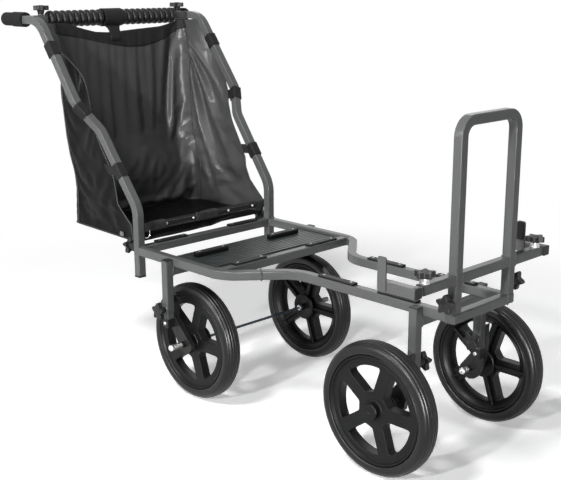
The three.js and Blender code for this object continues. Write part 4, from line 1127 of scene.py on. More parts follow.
def handle_corners(side):
    return [
        (spot(corner_behind, side * rail_rear_half, 440.3), 0),
        (spot(corner_behind, side * rail_rear_half, knee_height), 80),
        (spot(lean_behind(738), side * 270, 738), 70),
        (spot(lean_behind(814), side * handle_half, 814), 70),
        (spot(lean_behind(grip_line), side * handle_half, grip_line), 80),
        (spot(1608, side * handle_half, grip_line), 0),
    ]


bar_behind = 1484
for side_name, side in sides.items():
    across = side * rail_rear_half
    tube_run(f"handle_tube_{side_name}", handle_corners(side), along_y, "handle", f"handle_{side_name}")
    straight_run(f"handle_neck_{side_name}", (corner_behind, across, 328), (corner_behind, across, 460),
                 along_y, "handle", f"handle_{side_name}", **inner_bar)
    straight_run(f"bar_socket_{side_name}", (bar_behind, side * 301, grip_line),
                 (bar_behind, side * 250, grip_line), along_x, "handle", f"handle_{side_name}")

# The push bar is a round steel tube, plugged into both sockets, under a corrugated grip of moulded rubber
# with a plain band in the middle.
push_bar = round_bar("push bar", 10.2, 285, 40, frame_coat)
placed(push_bar, spot(bar_behind, 0, grip_line), along_y)
solid_piece("push_bar_tube", push_bar, "handle", "frame", "push_bar")

grip_half = 246
grip_bore = 10.4
band_half = 14
grip_ribs = 11
crest_steps = 12
rib_radius = 26.0
rib_root = 20.0
grip_pitch = grip_half / grip_ribs
grip_rubber = finish_of(
    "grip rubber", (0.006, 0.006, 0.006), (0.011, 0.011, 0.011),
    roughness=0.34, change=0.12, blotch=30.0, grain=1500.0, bump=0.3, shine=0.22,
)
crest = []
for i in range(crest_steps + 1):
    share = i / crest_steps
    swell = math.sin(math.pi * share) ** 0.75
    crest.append((rib_root + (rib_radius - rib_root) * swell, share * grip_pitch))
rib_ring = turned("grip rib", [(grip_bore, 0), *crest, (grip_bore, grip_pitch), (grip_bore, 0)], 40)
grip_halves = [
    grown(f"grip ribs {name}", rib_ring, rib_tree, count=grip_ribs, start=(0.0, 0.0, start * mm),
          step=(0.0, 0.0, grip_pitch * mm), finish=grip_rubber)
    for name, start in [("near", -grip_half), ("far", 0.0)]
]
band = turned("grip band", eased([
    (grip_bore, -band_half - 3), (rib_radius - 1, -band_half - 3), (rib_radius, -band_half + 1),
    (rib_radius, band_half - 1), (rib_radius - 1, band_half + 3), (grip_bore, band_half + 3),
    (grip_bore, -band_half - 3),
], 1.2), 40)
grip_whole = joined("corrugated_grip", *grip_halves, band, finish=grip_rubber)
placed(grip_whole, spot(bar_behind, 0, grip_line), along_y)
solid_piece("corrugated_grip", grip_whole, "handle", "plastic", "push_grip")

# Foam sleeves are pushed on over the handle's ends and close them, each with a fatter collar just behind the
# bar's socket.
sleeve_end = 1614
sleeve_outline = eased([
    (0, -sleeve_end), (20.5, -sleeve_end), (20.5, -1563.5), (22.5, -1562.5), (22.5, -1498), (13.4, -1498),
], 3.2, 5)
for side_name, side in sides.items():
    outline = [(r, x + sleeve_end) for r, x in sleeve_outline]
    sleeve = turned(f"hand grip {side_name}", outline, 48, foam_black)
    placed(sleeve, spot(sleeve_end, side * handle_half, grip_line), along_x)
    piece = solid_piece(f"foam_grip_{side_name}", sleeve, "handle", "foam", f"hand_grip_{side_name}")

# Star knobs clamp everything that comes apart: black nylon heads with five lobes and hollow flanks, moulded
# onto plated studs, with a boss that bears on the tube.
star_tip = 25.0
star_waist = 15.8
star_lobes = 5
star_points = 120
star_outline = []
for i in range(star_points):
    angle = 2 * math.pi * i / star_points
    lift = (0.5 + 0.5 * math.cos(star_lobes * angle)) ** 1.25
    radius = star_waist + (star_tip - star_waist) * lift
    star_outline.append((radius * math.cos(angle), radius * math.sin(angle)))
knob_nylon = finish_of(
    "knob nylon", (0.010, 0.010, 0.011), (0.016, 0.016, 0.017),
    roughness=0.38, change=0.12, blotch=40.0, grain=1500.0, bump=0.2, shine=0.3,
)


def star_knob(name, face, toward, standoff, turn=0.0):
    """A star knob whose boss bears on the point, its head standing off along toward."""
    head = flat_plate(name + " head", [star_outline], 14.0, 1.8)
    head.transform(Matrix.Translation((0, 0, standoff * mm)) @ Matrix.Rotation(turn, 4, "Z"))
    boss = turned(name + " boss", eased([
        (0, 1.4), (9.0, 1.4), (9.0, 4.0), (11.5, standoff - 0.5), (13.5, standoff + 2.0), (0, standoff + 2.0),
    ], 0.9), 32)
    top = standoff + 15.0
    crown_disc = turned(name + " crown", eased([
        (0, top - 2.0), (9.5, top - 2.0), (9.0, top), (6.0, top), (5.2, top - 0.6), (0, top - 0.6),
    ], 0.6), 32)
    head_whole = joined(name + " moulding", head, boss, crown_disc, finish=knob_nylon)
    stud = turned(name + " stud", [
        (0, -2.0), (3.8, -2.0), (3.8, 0.3), (9.4, 0.3), (9.4, 1.5), (0, 1.5),
    ], 24, plated_steel)
    whole = joined(name, head_whole, stud)
    placed(whole, face, toward)
    return solid_piece("star_" + name, whole, name, "plastic", name)


knob_turns = {"near": 0.3, "far": 0.75}
standoff = 15
base_standoff = 24
arm_knob_across = 225
bar_knob_across = 266.8
hoop_bar_crown = 509
for side_name, side in sides.items():
    turn = knob_turns[side_name]
    for axle_name, axle in axles.items():
        outward_y = side * axle["out"]
        face = spot(axle["behind"], side * axle["half"] + outward_y * 12.5, 265)
        star_knob(f"knob_post_{axle_name}_{side_name}", face, (0, outward_y, 0), standoff, turn)
    for name, face, toward, stand in [
        ("base", spot(1040, side * rail_rear_half, 408), (-1, 0, 0), base_standoff),
        ("hoop", spot(nose_line, side * deck_half_front, 440), (0, side, 0), standoff),
        ("arm", spot(nose_line, side * arm_knob_across, hoop_bar_crown), upward, standoff),
        ("bar", spot(bar_behind, side * bar_knob_across, 1065), upward, standoff),
    ]:
        star_knob(f"knob_{name}_{side_name}", face, toward, stand, turn)

# The bag is sewn from coated nylon: two side panels, a back and a floor, open towards the deck. The shell is
# lofted from plans at fifteen heights, creased along its folds, and left to sag as cloth between its seams.
def coated_nylon(name, colour, smooth, rough, shine, coat):
    """Coated cloth: its gloss drifts, and small creases run all over it."""
    made, tree, shader = material(name, colour, rough)
    nodes = nodes_of(
        tree, where="ShaderNodeTexCoord", drift="ShaderNodeTexNoise", shift="ShaderNodeVectorMath",
        crease="ShaderNodeTexVoronoi", gloss="ShaderNodeMapRange", relief="ShaderNodeBump",
    )
    nodes["shader"] = shader
    nodes["shift"].operation = "MULTIPLY_ADD"
    nodes["crease"].feature = "SMOOTH_F1"
    set_values(nodes, {
        "shader.Specular IOR Level": shine, "shader.Coat Weight": coat, "shader.Coat Roughness": 0.22,
        "drift.Scale": 14.0, "drift.Detail": 5.0, "shift.1": (0.035, 0.035, 0.035), "crease.Scale": 24.0,
        "crease.Smoothness": 0.55, "gloss.From Min": 0.3, "gloss.From Max": 0.7, "gloss.To Min": smooth,
        "gloss.To Max": rough, "relief.Strength": 0.45, "relief.Distance": 4.0 * mm,
    })
    wired(
        tree, nodes,
        "where.Object > drift.Vector", "drift.Color > shift.0", "where.Object > shift.2",
        "shift.Vector > crease.Vector", "drift.Fac > gloss.Value", "gloss.Result > shader.Roughness",
        "crease.Distance > relief.Height", "relief.Normal > shader.Normal",
    )
    return made


bag_cloth = coated_nylon("coated nylon outside", (0.0050, 0.0050, 0.0051), 0.44, 0.58, 0.04, 0.12)
bag_lining = coated_nylon("coated nylon inside", (0.070, 0.070, 0.0705), 0.40, 0.54, 0.10, 0.16)
webbing = finish_of(
    "black webbing", (0.009, 0.009, 0.009), (0.015, 0.015, 0.015),
    roughness=0.62, change=0.12, blotch=60.0, grain=1400.0, bump=0.5, shine=0.18,
)

# Each plan: height, hem behind the nose, back behind the nose, half width at the hem, half width at the back
bag_plans = np.array([
    (426, 1057, 1398, 263, 250), (470, 1060, 1396, 264, 250), (500, 1095, 1395, 265, 250),
    (524, 1121, 1395, 266, 250), (560, 1126, 1398, 267, 250), (599, 1131, 1409, 269, 250),
    (640, 1153, 1424, 270, 251), (697, 1191, 1436, 274, 252), (760, 1231, 1441, 281, 254),
    (814, 1265, 1444, 288, 256), (870, 1306, 1446, 292, 256), (930, 1350, 1448, 294, 255),
    (980, 1387, 1449, 295, 252), (1010, 1409, 1450, 296, 250), (1040, 1424, 1451, 296, 248),
])
bag_foot = bag_plans[0][0]
bag_head = bag_plans[-1][0]
bag_corner = 38.0
corner_share = 0.12
side_steps = 24
turn_steps = 5
back_steps = 56
rise_steps = 68
pull_heights = [520, 570, 720, 770, 800, 840]
pull_shares = [0, -1, -1, -0.4, 0.4, 1]
pull_behind = 9
pull_across = 8


def smooth_step(value, low, high):
    """0 below low, 1 above high and smooth between them."""
    share = np.clip((value - low) / (high - low), 0.0, 1.0)
    return share * share * (3 - 2 * share)


def bag_plan_at(height):
    return [np.interp(height, bag_plans[:, 0], bag_plans[:, i]) for i in (1, 2, 3, 4)]


def bag_station(height, place):
    """Behind the nose and across of a place round the bag: -2..-1 near side, -1..1 back, 1..2 far side."""
    hem, back, hem_half, back_half = bag_plan_at(height)
    corner = min(bag_corner, 0.55 * (back - hem))
    side = -1 if place < 0 else 1
    reach = abs(place)
    if reach >= 1:
        along = 2 - reach
        if side > 0:
            pull = np.interp(height, pull_heights, pull_shares)
            hem -= pull_behind * pull
            hem_half += pull_across * pull
        return hem + (back - corner - hem) * along, side * (hem_half + (back_half - hem_half) * along)
    if reach >= 1 - corner_share:
        angle = (reach - (1 - corner_share)) / corner_share * math.pi / 2
        half = back_half - corner + corner * math.sin(angle)
        return back - corner + corner * math.cos(angle), side * half
    return back, side * (back_half - corner) * reach / (1 - corner_share)


lip_sags = [
    (-250, 0), (-205, 2), (-180, 7), (-163, 14), (-135, 22), (-93, 32), (-44, 35), (0, 33), (57, 29),
    (109, 26), (163, 23), (195, 17), (225, 9), (250, 1),
]


def lip_height(across):
    """The height of the back's top edge, which sags between the handle's tubes."""
    return bag_head - np.interp(across, *zip(*lip_sags))


back_end = 1 - corner_share
near_places = np.linspace(-2, -1, side_steps, endpoint=False)
near_turn = np.linspace(-1, -back_end, turn_steps, endpoint=False)
back_places = np.linspace(-back_end, back_end, back_steps, endpoint=False)
far_turn = np.linspace(back_end, 1, turn_steps, endpoint=False)
far_places = np.linspace(1, 2, side_steps + 1)
bag_places = np.concatenate([near_places, near_turn, back_places, far_turn, far_places])
rises = np.linspace(0, 1, rise_steps)
shell = np.zeros((len(rises), len(bag_places), 3))
for j, place in enumerate(bag_places):
    head = lip_height(bag_station(bag_head, place)[1])
    for i, rise in enumerate(rises):
        behind, across = bag_station(bag_foot + rise * (bag_head - bag_foot), place)
        shell[i, j] = (behind, across, bag_foot + rise * (head - bag_foot))

# The near hem hangs slack between its two upper straps, so its panel bows in there.
slack_height = 882
slack_depth = 55
slack_above = 80.0
slack_below = 105.0
heights = shell[:, :, 2]
slack_spread = np.where(heights > slack_height, slack_above, slack_below)
slack = slack_depth * np.exp(-((heights - slack_height) / slack_spread) ** 2)
hem_share = np.clip(-bag_places - 1, 0, 1)[None, :]
shell[:, :, 1] += slack * hem_share ** 1.6

# Folds: a fan from the far corner's top down to the far hem, upright ones in the back beside that corner,
# and loose creases low down. They are heights along the cloth's normal, towards the inside of the bag.
# Each ridge has its angle or place, its spread and its height.
fan_ridges = [
    (4.0, 1.7, 7.0), (9.5, 2.2, -9.0), (14.5, 1.9, 10.0), (20.5, 2.4, -11.0), (26.0, 1.9, 10.0),
    (31.5, 1.8, -8.0), (36.0, 1.6, 6.0),
]
back_ridges = [(176, 13.0, 3.5), (206, 8.0, -4.5), (228, 6.0, 5.0)]
fan_height = 1014.0
bag_middle = np.array([1250.0, 0.0, 0.0])
level = np.array([1.0, 1.0, 0.0])
down = np.gradient(shell, axis=0)
along = np.gradient(shell, axis=1)
normals = np.cross(along, down)
normals /= np.linalg.norm(normals, axis=2, keepdims=True)
normals *= np.sign(np.sum(normals * (bag_middle - shell) * level, axis=2, keepdims=True))
forward = np.interp(heights, bag_plans[:, 0], bag_plans[:, 2]) - shell[:, :, 0]
drop = fan_height - heights
fan = np.degrees(np.arctan2(forward, drop))
far_side = (bag_places > 1)[None, :]
back_side = (np.abs(bag_places) < 0.9)[None, :]
reach_out = np.hypot(forward, drop)
fan_share = smooth_step(reach_out, 30, 150) * (1 - smooth_step(reach_out, 500, 620))
back_share = smooth_step(heights, 640, 800)
lift = np.zeros_like(heights)
for angle, spread, tall in fan_ridges:
    lift += far_side * tall * np.exp(-((fan - angle) / spread) ** 2) * fan_share
for across, spread, tall in back_ridges:
    lean_over = across - 0.10 * (1000 - heights)
    lift += back_side * tall * np.exp(-((shell[:, :, 1] - lean_over) / spread) ** 2) * back_share
crease_shift = Vector((7, 3, 1))
for i in range(len(rises)):
    for j in range(len(bag_places)):
        place = Vector(shell[i, j])
        broad = noise.noise(place / 95.0)
        crease = 1 - 2 * abs(noise.noise(place / 48.0 + crease_shift))
        low_down = 1 - float(smooth_step(heights[i, j], 520, 680))
        outer_near = 1.0 if bag_places[j] < -0.9 else 0.0
        lift[i, j] += 5.0 * broad * (0.5 + outer_near) + (1.0 + 2.6 * low_down + 1.4 * outer_near) * crease
seam_columns = np.array([-1, 1])
seam_gap = np.min(np.abs(bag_places[:, None] - seam_columns[None, :]), axis=1)[None, :]
edge_gap = np.minimum(2 - np.abs(bag_places), 1.0)[None, :]
rise_gap = np.minimum(rises, 1 - rises)[:, None]
still = smooth_step(seam_gap, 0.0, 0.1) * smooth_step(edge_gap, 0.0, 0.12) * smooth_step(rise_gap, 0.0, 0.05)
shell += normals * (lift * still)[:, :, None]


def cloth_grid(name, rows, *finishes):
    """A mesh of four-sided faces between rows of points that are equally long."""
    width = len(rows[0])
    mesh = bpy.data.meshes.new(name)
    mesh.from_pydata([tuple(p) for row in rows for p in row], [], [
        (i * width + j, i * width + j + 1, (i + 1) * width + j + 1, (i + 1) * width + j)
        for i in range(len(rows) - 1) for j in range(width - 1)
    ])
    for finish in finishes:
        mesh.materials.append(finish)
    return mesh


columns = len(bag_places)
shell_rows = [[spot(*p) for p in shell_row] for shell_row in shell]
shell_mesh = cloth_grid("bag shell", shell_rows, bag_cloth, bag_lining)


def settled(name, mesh, held, slack_share, frames, reach):
    """The mesh after its cloth has sagged between its held points, each point moved by reach at most."""
    before = np.array([tuple(v.co) for v in mesh.vertices])
    host = new_object(name + " settling", mesh)
    group = host.vertex_groups.new(name="held")
    for i, weight in enumerate(held):
        group.add([i], float(weight), "REPLACE")
    cloth = host.modifiers.new("sag", "CLOTH")
    cloth.settings.quality = 5
    cloth.settings.mass = 0.12
    cloth.settings.tension_stiffness = 14.0
    cloth.settings.compression_stiffness = 14.0
    cloth.settings.shear_stiffness = 6.0
    cloth.settings.bending_stiffness = 0.25
    cloth.settings.shrink_min = -slack_share
    cloth.settings.vertex_group_mass = "held"
    cloth.settings.air_damping = 3.0
    cloth.collision_settings.use_collision = False
    cloth.collision_settings.use_self_collision = False
    cloth.point_cache.frame_start = 1
    cloth.point_cache.frame_end = frames
    for step in range(1, frames + 1):
        bpy.context.scene.frame_set(step)
    evaluated = host.evaluated_get(bpy.context.evaluated_depsgraph_get())
    after = np.array([tuple(v.co) for v in evaluated.data.vertices])
    host.modifiers.remove(cloth)
    bpy.context.scene.frame_set(1)
    moved = after - before
    length = np.maximum(np.linalg.norm(moved, axis=1, keepdims=True), 1e-9)
    after = before + moved * np.minimum(1.0, reach / length)
    bpy.data.objects.remove(host)
    mesh.vertices.foreach_set("co", after.reshape(-1))
    mesh.update()
    return mesh


held = np.zeros_like(heights)
held[0, :] = held[-1, :] = 1.0
held[:, 0] = held[:, -1] = 1.0
held = np.maximum(held, (seam_gap < 0.012) * 1.0)
settled("bag shell", shell_mesh, held.reshape(-1), 0.012, 24, 9 * mm)

cloth_wall = 1.2 * mm
settled_shell = np.array([tuple(v.co) for v in shell_mesh.vertices]).reshape(shell.shape)
bag_piece = solid_piece("bag_shell", outward(shell_mesh), "handle", "fabric", "bag", wall=cloth_wall)
bag_piece.modifiers["wall"].material_offset = 1

# The floor is a stiffened panel that joins the three sides, a little slack and crumpled.
floor_steps = (26, 48)
floor_edge = 6
near_foot = settled_shell[0, :side_steps + 1]
far_foot = settled_shell[0, -side_steps - 1:][::-1]
floor_rows = []
for i in range(floor_steps[0] + 1):
    at = i / floor_steps[0] * side_steps
    low = int(min(at, side_steps - 1))
    near_end = near_foot[low] + (near_foot[low + 1] - near_foot[low]) * (at - low)
    far_end = far_foot[low] + (far_foot[low + 1] - far_foot[low]) * (at - low)
    span = far_end - near_end
    floor_rows.append([near_end + span * j / floor_steps[1] for j in range(floor_steps[1] + 1)])
back_edge = settled_shell[0, side_steps + turn_steps:side_steps + turn_steps + back_steps + 1]
floor_rows.append([
    [np.interp(j / floor_steps[1], np.linspace(0, 1, len(back_edge)), back_edge[:, k]) for k in range(3)]
    for j in range(floor_steps[1] + 1)
])
floor_grid = np.array(floor_rows)
for i in range(1, len(floor_grid) - 1):
    for j in range(1, floor_steps[1]):
        place = Vector(floor_grid[i, j])
        inset = min(j, floor_steps[1] - j, floor_edge) / floor_edge * min(i, floor_edge) / floor_edge
        crumple = 6 * noise.noise(place * 14.0) + 4 * abs(noise.noise(place * 31.0))
        floor_grid[i, j, 2] += crumple * mm * inset
floor_cloth = cloth_grid("bag floor", floor_grid, bag_cloth)
bag_floor = solid_piece("bag_floor", outward(floor_cloth), "handle", "fabric", "bag", wall=cloth_wall)

# Piping is sewn into the upright seams, round the floor and along both open edges. Each is a round cord
# under cloth.
cord_tree = group_tree("round cord", "GeometryNodeTree", [
    ("Geometry", "Geometry"), ("radius", "Float", 2.4 * mm), ("facets", "Int", 10), ("finish", "Material"),
], [("Geometry", "Geometry")])
cord = group_nodes(
    cord_tree, line="GeometryNodeMeshToCurve", section="GeometryNodeCurvePrimitiveCircle",
    swept="GeometryNodeCurveToMesh", whole="GeometryNodeRealizeInstances", painted="GeometryNodeSetMaterial",
)
cord["swept"].inputs["Fill Caps"].default_value = True
wired(
    cord_tree, cord,
    "ends_in.Geometry > line.Mesh", "ends_in.radius > section.Radius", "ends_in.facets > section.Resolution",
    "line.Curve > swept.Curve", "section.Curve > swept.Profile Curve", "swept.Mesh > whole.Geometry",
    "whole.Geometry > painted.Geometry", "ends_in.finish > painted.Material",
    "painted.Geometry > ends_out.Geometry",
)

piping_cloth = finish_of(
    "piping cloth", (0.008, 0.008, 0.008), (0.014, 0.014, 0.014),
    roughness=0.34, change=0.14, blotch=50.0, grain=900.0, bump=0.4, shine=0.35,
)
seam_near = side_steps
seam_far = columns - side_steps - 1
piping_runs = {
    "hem_near": (settled_shell[:, 0], 2.2), "hem_far": (settled_shell[:, -1], 2.8),
    "seam_near": (settled_shell[:-4, seam_near], 2.4), "seam_far": (settled_shell[:-4, seam_far], 2.6),
    "foot": (settled_shell[0], 3.0),
}
for name, (points_along, radius) in piping_runs.items():
    cord_mesh = grown(f"bag_piping_{name}", line_mesh(name, points_along), cord_tree, radius=radius * mm,
                      finish=piping_cloth)
    solid_piece(f"bag_piping_{name}", outward(cord_mesh), "handle", "fabric", "bag")


def along_column(column, height):
    """The point of a column of the settled cloth at a height, all in metres."""
    return [np.interp(height, column[:, 2], column[:, k]) for k in range(2)] + [height]


# The top edge is turned over into a thick band, deepest in the middle of the back.
band_heights = np.array([
    (-260, 1014), (-243, 1006), (-182, 997), (-126, 986), (-70, 974), (-15, 963), (39, 956), (95, 956),
    (150, 965), (190, 979), (220, 992), (242, 1006), (260, 1018),
])
band_steps = 8
band_thick = 4.5
band_over = 1.5
band_rows = []
for step in range(band_steps + 1):
    row_points = []
    for j in range(side_steps - 3, columns - side_steps + 3):
        column = settled_shell[:, j]
        low = np.interp(column[-1, 1] / mm, band_heights[:, 0], band_heights[:, 1]) * mm
        high = column[-1, 2] + band_over * mm
        row_points.append(along_column(column, low + (high - low) * step / band_steps))
    band_rows.append(row_points)
band_mesh = cloth_grid("bag top band", np.array(band_rows), webbing)
top_band = new_object("bag_top_band", band_mesh)
band_mesh.shade_smooth()
band_wall = top_band.modifiers.new("wall", "SOLIDIFY")
band_wall.thickness = band_thick * mm
band_wall.offset = 0.0
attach(top_band, "handle")
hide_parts("bag")

# Three straps on each side wrap round the tube and fasten back on themselves, and a tab joins each to the
# panel.
strap_bands = [626.5, 797.0, 967.5]
strap_long = 44.0
strap_steps = 6
strap_thick = 2.2
tab_share = 0.8
sleeve_half = 15.4
sleeve_corner = 5.0
tab_root = (-11, 14)
tab_thick = 2.0
tab_inset = 4


def tube_centre(side, height):
    """The middle of the handle's tube at a height: its place behind the nose and across."""
    half = np.interp(height, [525, 738, 814], [rail_rear_half, 270, handle_half])
    return spot(lean_behind(height), side * half, height)


for side_name, side in sides.items():
    hem, inner = [settled_shell[:, j if side < 0 else -1 - j] for j in (0, tab_inset)]
    outward_step = Vector((0, side * mm, 0))
    for i, height in enumerate(strap_bands):
        middle = tube_centre(side, height)
        way = (tube_centre(side, height + 12) - tube_centre(side, height - 12)).normalized()
        reach_up = way * strap_long / 2 * mm
        low, high = middle - reach_up, middle + reach_up
        strap_points = [low.lerp(high, s / strap_steps) for s in range(strap_steps + 1)]
        sleeve = grown(f"bag_strap_{side_name}_{i}", line_mesh("strap line", strap_points), tube_tree,
                       width=2 * sleeve_half * mm, side=along_y, corner_radius=sleeve_corner * mm,
                       closed_ends=False, finish=webbing)
        solid_piece(f"bag_strap_{side_name}_{i + 1}", outward(sleeve), "handle", "fabric", "bag",
                    wall=strap_thick * mm)
        hem_at = Vector(along_column(hem, height * mm))
        inner_at = Vector(along_column(inner, height * mm))
        root = middle + Vector((tab_root[0] * mm, side * tab_root[1] * mm, 0))
        tab_line = [
            root, root.lerp(hem_at, 0.5) + outward_step * 3, hem_at + outward_step * 3,
            hem_at.lerp(inner_at, 0.4) + outward_step * 4,
        ]
        tab_rows = [[p + reach_up * e for e in (-tab_share, tab_share)] for p in tab_line]
        tab_mesh = cloth_grid("strap tab", tab_rows, webbing)
        solid_piece(f"bag_tab_{side_name}_{i + 1}", outward(tab_mesh), "handle", "fabric", "bag",
                    wall=tab_thick * mm)

# A stiffened rail closes the bag's front edge, a plastic strip sewn into webbing, with three loops of worn
# webbing, two side-release buckles, four rivets and a chromed hook.
rail_behind = 1050
rail_front = 1039
rail_face = rail_front - 2
rail_webbing = finish_of(
    "worn webbing", (0.020, 0.020, 0.021), (0.050, 0.050, 0.052),
    roughness=0.70, change=0.12, blotch=160.0, grain=1200.0, bump=0.8, shine=0.2,
)


def in_webbing(run, finish):
    """A run of the rail's section, covered in webbing instead of the frame's coat."""
    run.data.materials.clear()
    run.data.materials.append(finish)


front_rail = tube_run("bag_front_rail", [
    (spot(rail_behind, across, height), 0)
    for across, height in [(-232, 459), (-60, 458), (120, 459), (257, 461)]
], along_x, "handle", "bag", hollow=False, width=22 * mm, corner=4 * mm)
in_webbing(front_rail, webbing)
for i, (low, high) in enumerate([(-203, -152), (1, 54), (222, 258)]):
    loop = straight_run(f"bag_rail_loop_{i + 1}", (rail_behind, low, 459), (rail_behind, high, 460), along_x,
                        "handle", "bag", hollow=False, width=26 * mm, corner=6 * mm)
    in_webbing(loop, rail_webbing)
buckle_nylon = finish_of(
    "buckle nylon", (0.020, 0.021, 0.022), (0.030, 0.031, 0.032),
    roughness=0.36, change=0.1, blotch=40.0, grain=1200.0, bump=0.2, shine=0.4,
)
for i, (low, high) in enumerate([(-230, -203), (-34, 1)]):
    body_outline = eased(plate_corners(low, high, 449, 474), 4.0, 4, closed=True)
    buckle = slab(f"buckle {i}", body_outline, 0, 9, 1.4)
    tongue_outline = eased(plate_corners(low + 7, high - 7, 454, 469), 3.0, 4, closed=True)
    tongue = slab(f"buckle tongue {i}", tongue_outline, -1.6, 4, 0.9)
    whole = joined(f"bag_buckle_{i + 1}", buckle, tongue, finish=buckle_nylon)
    whole.transform(Matrix.Rotation(math.radians(90), 4, "Z"))
    whole.transform(Matrix.Translation(spot(rail_face, 0, 0)))
    solid_piece(f"bag_buckle_{i + 1}", outward(whole), "handle", "plastic", "bag")
rivet_mesh = turned("rivet", [(0, -1.5), (4.2, -1.5), (4.2, 0.3), (3.6, 1.3), (2.2, 2.0), (0, 2.3)], 20)
rivet_spots = [spot(rail_front, across, 461) for across in (-150, -46, 97, 200)]
rivets = scattered("bag_rail_rivets", rivet_mesh, rivet_spots, along_x, plated_steel)
solid_piece("bag_rail_rivets", rivets, "handle", "chrome", "bag")
hook_line = [(-217, 452), (-217, 444), (-217, 438), (-219, 433), (-224, 430.5), (-230, 430.5), (-234, 433)]
hook_mesh = line_mesh("hook", [spot(rail_front - 3, *at) for at in hook_line])
hook = grown("bag_hook", hook_mesh, cord_tree, radius=1.7 * mm, finish=polished)
solid_piece("bag_hook", outward(hook), "handle", "chrome", "bag")

# Two rows of grey thread hold the rail's webbing. Each stitch is a small spindle, repeated along its row by
# Geometry Nodes.
stitch_pitch = 7
stitch_heights = (452, 467)
stitch_start = -196
stitch_end = 220
stitch_mesh = turned("stitch", [(0, -2.4), (0.6, -1.6), (0.6, 1.6), (0, 2.4)], 8)
stitch_spots = [
    spot(rail_front, across, height)
    for height in stitch_heights for across in range(stitch_start, stitch_end, stitch_pitch)
]
stitch_grey = finish_of(
    "grey thread", (0.14, 0.14, 0.135), (0.20, 0.20, 0.19),
    roughness=0.7, change=0.1, blotch=60.0, grain=900.0, bump=0.2, shine=0.2,
)
stitches = scattered("bag_rail_stitches", stitch_mesh, stitch_spots, along_y, stitch_grey)
solid_piece("bag_rail_stitches", stitches, "handle", "fabric", "bag")

# A blank grey webbing tag, 18 mm wide and 13 mm tall, is sewn on just above the near side's foot seam.
tag_place = (1114, -262.6, 430)
tag = slab("bag_tag", plate_corners(-9, 9, -1, 12), 0, 1.4, 0.4, stitch_grey)
tag.transform(Matrix.Translation(spot(*tag_place)))
solid_piece("bag_tag", outward(tag), "handle", "fabric", "bag")

# Under the rail the floor's front edge hangs down as a loose apron that rises to the rail at its far end.
apron_low = [(-232, 417), (-60, 417), (40, 419), (90, 426), (160, 440), (222, 450), (257, 455)]
apron_steps = (8, 60)
apron_start = -232
apron_width = 489
apron_top = 455
apron_rows = []
for j in range(apron_steps[1] + 1):
    across = apron_start + j / apron_steps[1] * apron_width
    low = np.interp(across, *zip(*apron_low))
    apron_row = []
    for i in range(apron_steps[0] + 1):
        share = i / apron_steps[0]
        ripple = 2.2 * noise.noise(Vector((across / 34.0, share * 1.4, 0.0)))
        behind = rail_behind + 9 * share - 5 * math.sin(math.pi * share) + ripple
        apron_row.append(spot(behind, across, apron_top + (low - apron_top) * share))
    apron_rows.append(apron_row)
apron_mesh = cloth_grid("bag apron", apron_rows, bag_cloth)
apron = solid_piece("bag_apron", outward(apron_mesh), "handle", "fabric", "bag", wall=cloth_wall)

# A loop of webbing wraps the middle of the grip and is sewn to the back's top edge, which it holds up.
loop_low = -47
loop_high = 27
loop_radius = rib_radius + 2.6
loop_bore = rib_radius + 0.3
grip_loop = turned("bag grip loop", eased([
    (loop_bore, loop_low), (loop_radius, loop_low), (loop_radius, loop_high), (loop_bore, loop_high),
    (loop_bore, loop_low),
], 1.0), 48, webbing)
placed(grip_loop, spot(bar_behind, 0, grip_line), along_y)
solid_piece("bag_grip_loop", outward(grip_loop), "handle", "fabric", "bag")
neck_rows = [
    (1484, 1030, -46, 26), (1478, 1029, -45, 23), (1470, 1027, -42, 15), (1463, 1022, -39, 9),
    (1457, 1014, -37, 4), (1452, 1004, -36, 3), (1449, 992, -36, 3), (1448, 978, -36, 3),
]
neck_across = 8
neck_thick = 5.0
neck_mesh = cloth_grid("bag neck", [
    [spot(behind, low + (high - low) * j / neck_across, height) for j in range(neck_across + 1)]
    for behind, height, low, high in neck_rows
], webbing)
neck = solid_piece("bag_grip_neck", outward(neck_mesh), "handle", "fabric", "bag")
neck_wall = neck.modifiers.new("thick", "SOLIDIFY")
neck_wall.thickness = neck_thick * mm
neck_wall.offset = 0.0

# Every joint of the frame is welded. The beads are rows of small overlapping drops under the powder coat.
bead_pitch = 2.3
bead_arcs = 6
bead_radius = 2.1
bead_half = 1.7
bead_angles = [math.pi * i / bead_arcs for i in range(bead_arcs + 1)]
bead_outline = [(bead_radius * math.sin(a), -bead_half * math.cos(a)) for a in bead_angles]
bead_mesh = turned("weld drop", bead_outline, 10)


def bead_line(start, end):
    """Places of the drops along a welded edge, each point given as behind, across, height."""
    start, end = spot(*start), spot(*end)
    count = max(2, round((end - start).length / (bead_pitch * mm)))
    return [start.lerp(end, i / count) for i in range(count + 1)]


bar_low = 388.0
bar_high = 413.0
socket_front = 1015.2
socket_edge = 274.4
cross_front = 667.0
cross_end = 249.7
nose_rear = 25.2
nose_end = 121.4
seam_high = 508.8
deck_beads = []
hoop_beads = []


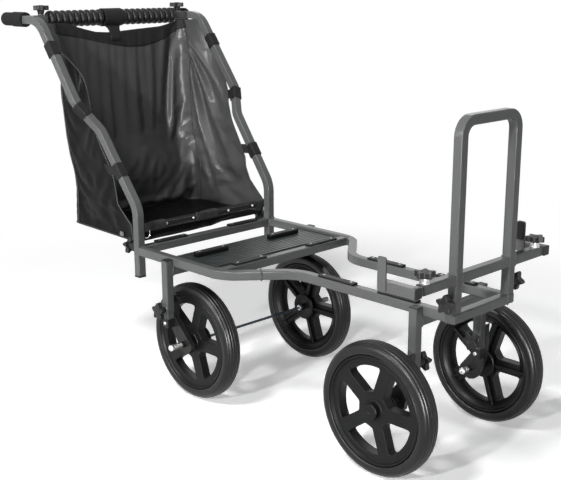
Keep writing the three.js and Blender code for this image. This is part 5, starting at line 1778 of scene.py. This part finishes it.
def upright_bead(behind, across, low=bar_low, high=bar_high):
    """A welded edge that stands upright, as high as the rail unless another height is given."""
    return bead_line((behind, across, low), (behind, across, high))


for side in sides.values():
    for behind in (socket_front, 1039.8, cross_front, 692.0):
        deck_beads += upright_bead(behind, side * cross_end)
    end = side * cross_end
    for front in (socket_front, cross_front):
        deck_beads += bead_line((front, end, bar_high), (front + 24.6, end, bar_high))
    deck_beads += bead_line((socket_front, side * 251, bar_high), (socket_front, side * 273.5, bar_high))
    deck_beads += upright_bead(socket_front, side * socket_edge)
    deck_beads += bead_line((nose_rear, side * 98, bar_high), (nose_rear, side * 120, bar_high))
    deck_beads += upright_bead(nose_rear, side * nose_end)
    for axle in axles.values():
        for reach in (-12.4, 12.4):
            deck_beads += upright_bead(axle["behind"] + reach, side * (axle["half"] - 12.6), 363, 387)
    for edge in (0.2, 24.8):
        for reach in (97.0, 121.2):
            hoop_beads += upright_bead(edge, side * reach, 484.5, 508.5)
    for reach in (121.2, 97.0):
        hoop_beads += bead_line((1, side * reach, seam_high), (24, side * reach, seam_high))

# A seam crosses the top of the near rail's slanting stretch and runs down its outside, and an upright one
# shows on the front of the nose bar.
splice_inner = (599.6, -177.0)
splice_outer = (580.4, -193.0)
nose_seam = (-0.1, 96)
deck_beads += bead_line((*splice_inner, bar_high), (*splice_outer, bar_high))
deck_beads += upright_bead(*splice_outer)
deck_beads += upright_bead(*nose_seam)
for body, beads in [("deck", deck_beads), ("hoop", hoop_beads)]:
    name = f"{body}_weld_beads"
    solid_piece(name, scattered(name, bead_mesh, beads, upward, frame_coat), body, "frame")

# Stepped plated bushes stand under the knobs on the hoop's crossbar.
bush_outline = eased([
    (0, 0), (12.4, 0), (12.4, 4.5), (10.6, 5.5), (10.6, 9.5), (12.2, 10.5), (12.2, 13.0), (0, 13.0),
], 0.7)
for side_name, side in sides.items():
    bush = turned(f"arm bush {side_name}", bush_outline, 32, plated_steel)
    placed(bush, spot(nose_line, side * arm_knob_across, hoop_bar_crown), upward)
    solid_piece(f"arm_knob_bush_{side_name}", bush, f"knob_arm_{side_name}", "chrome")
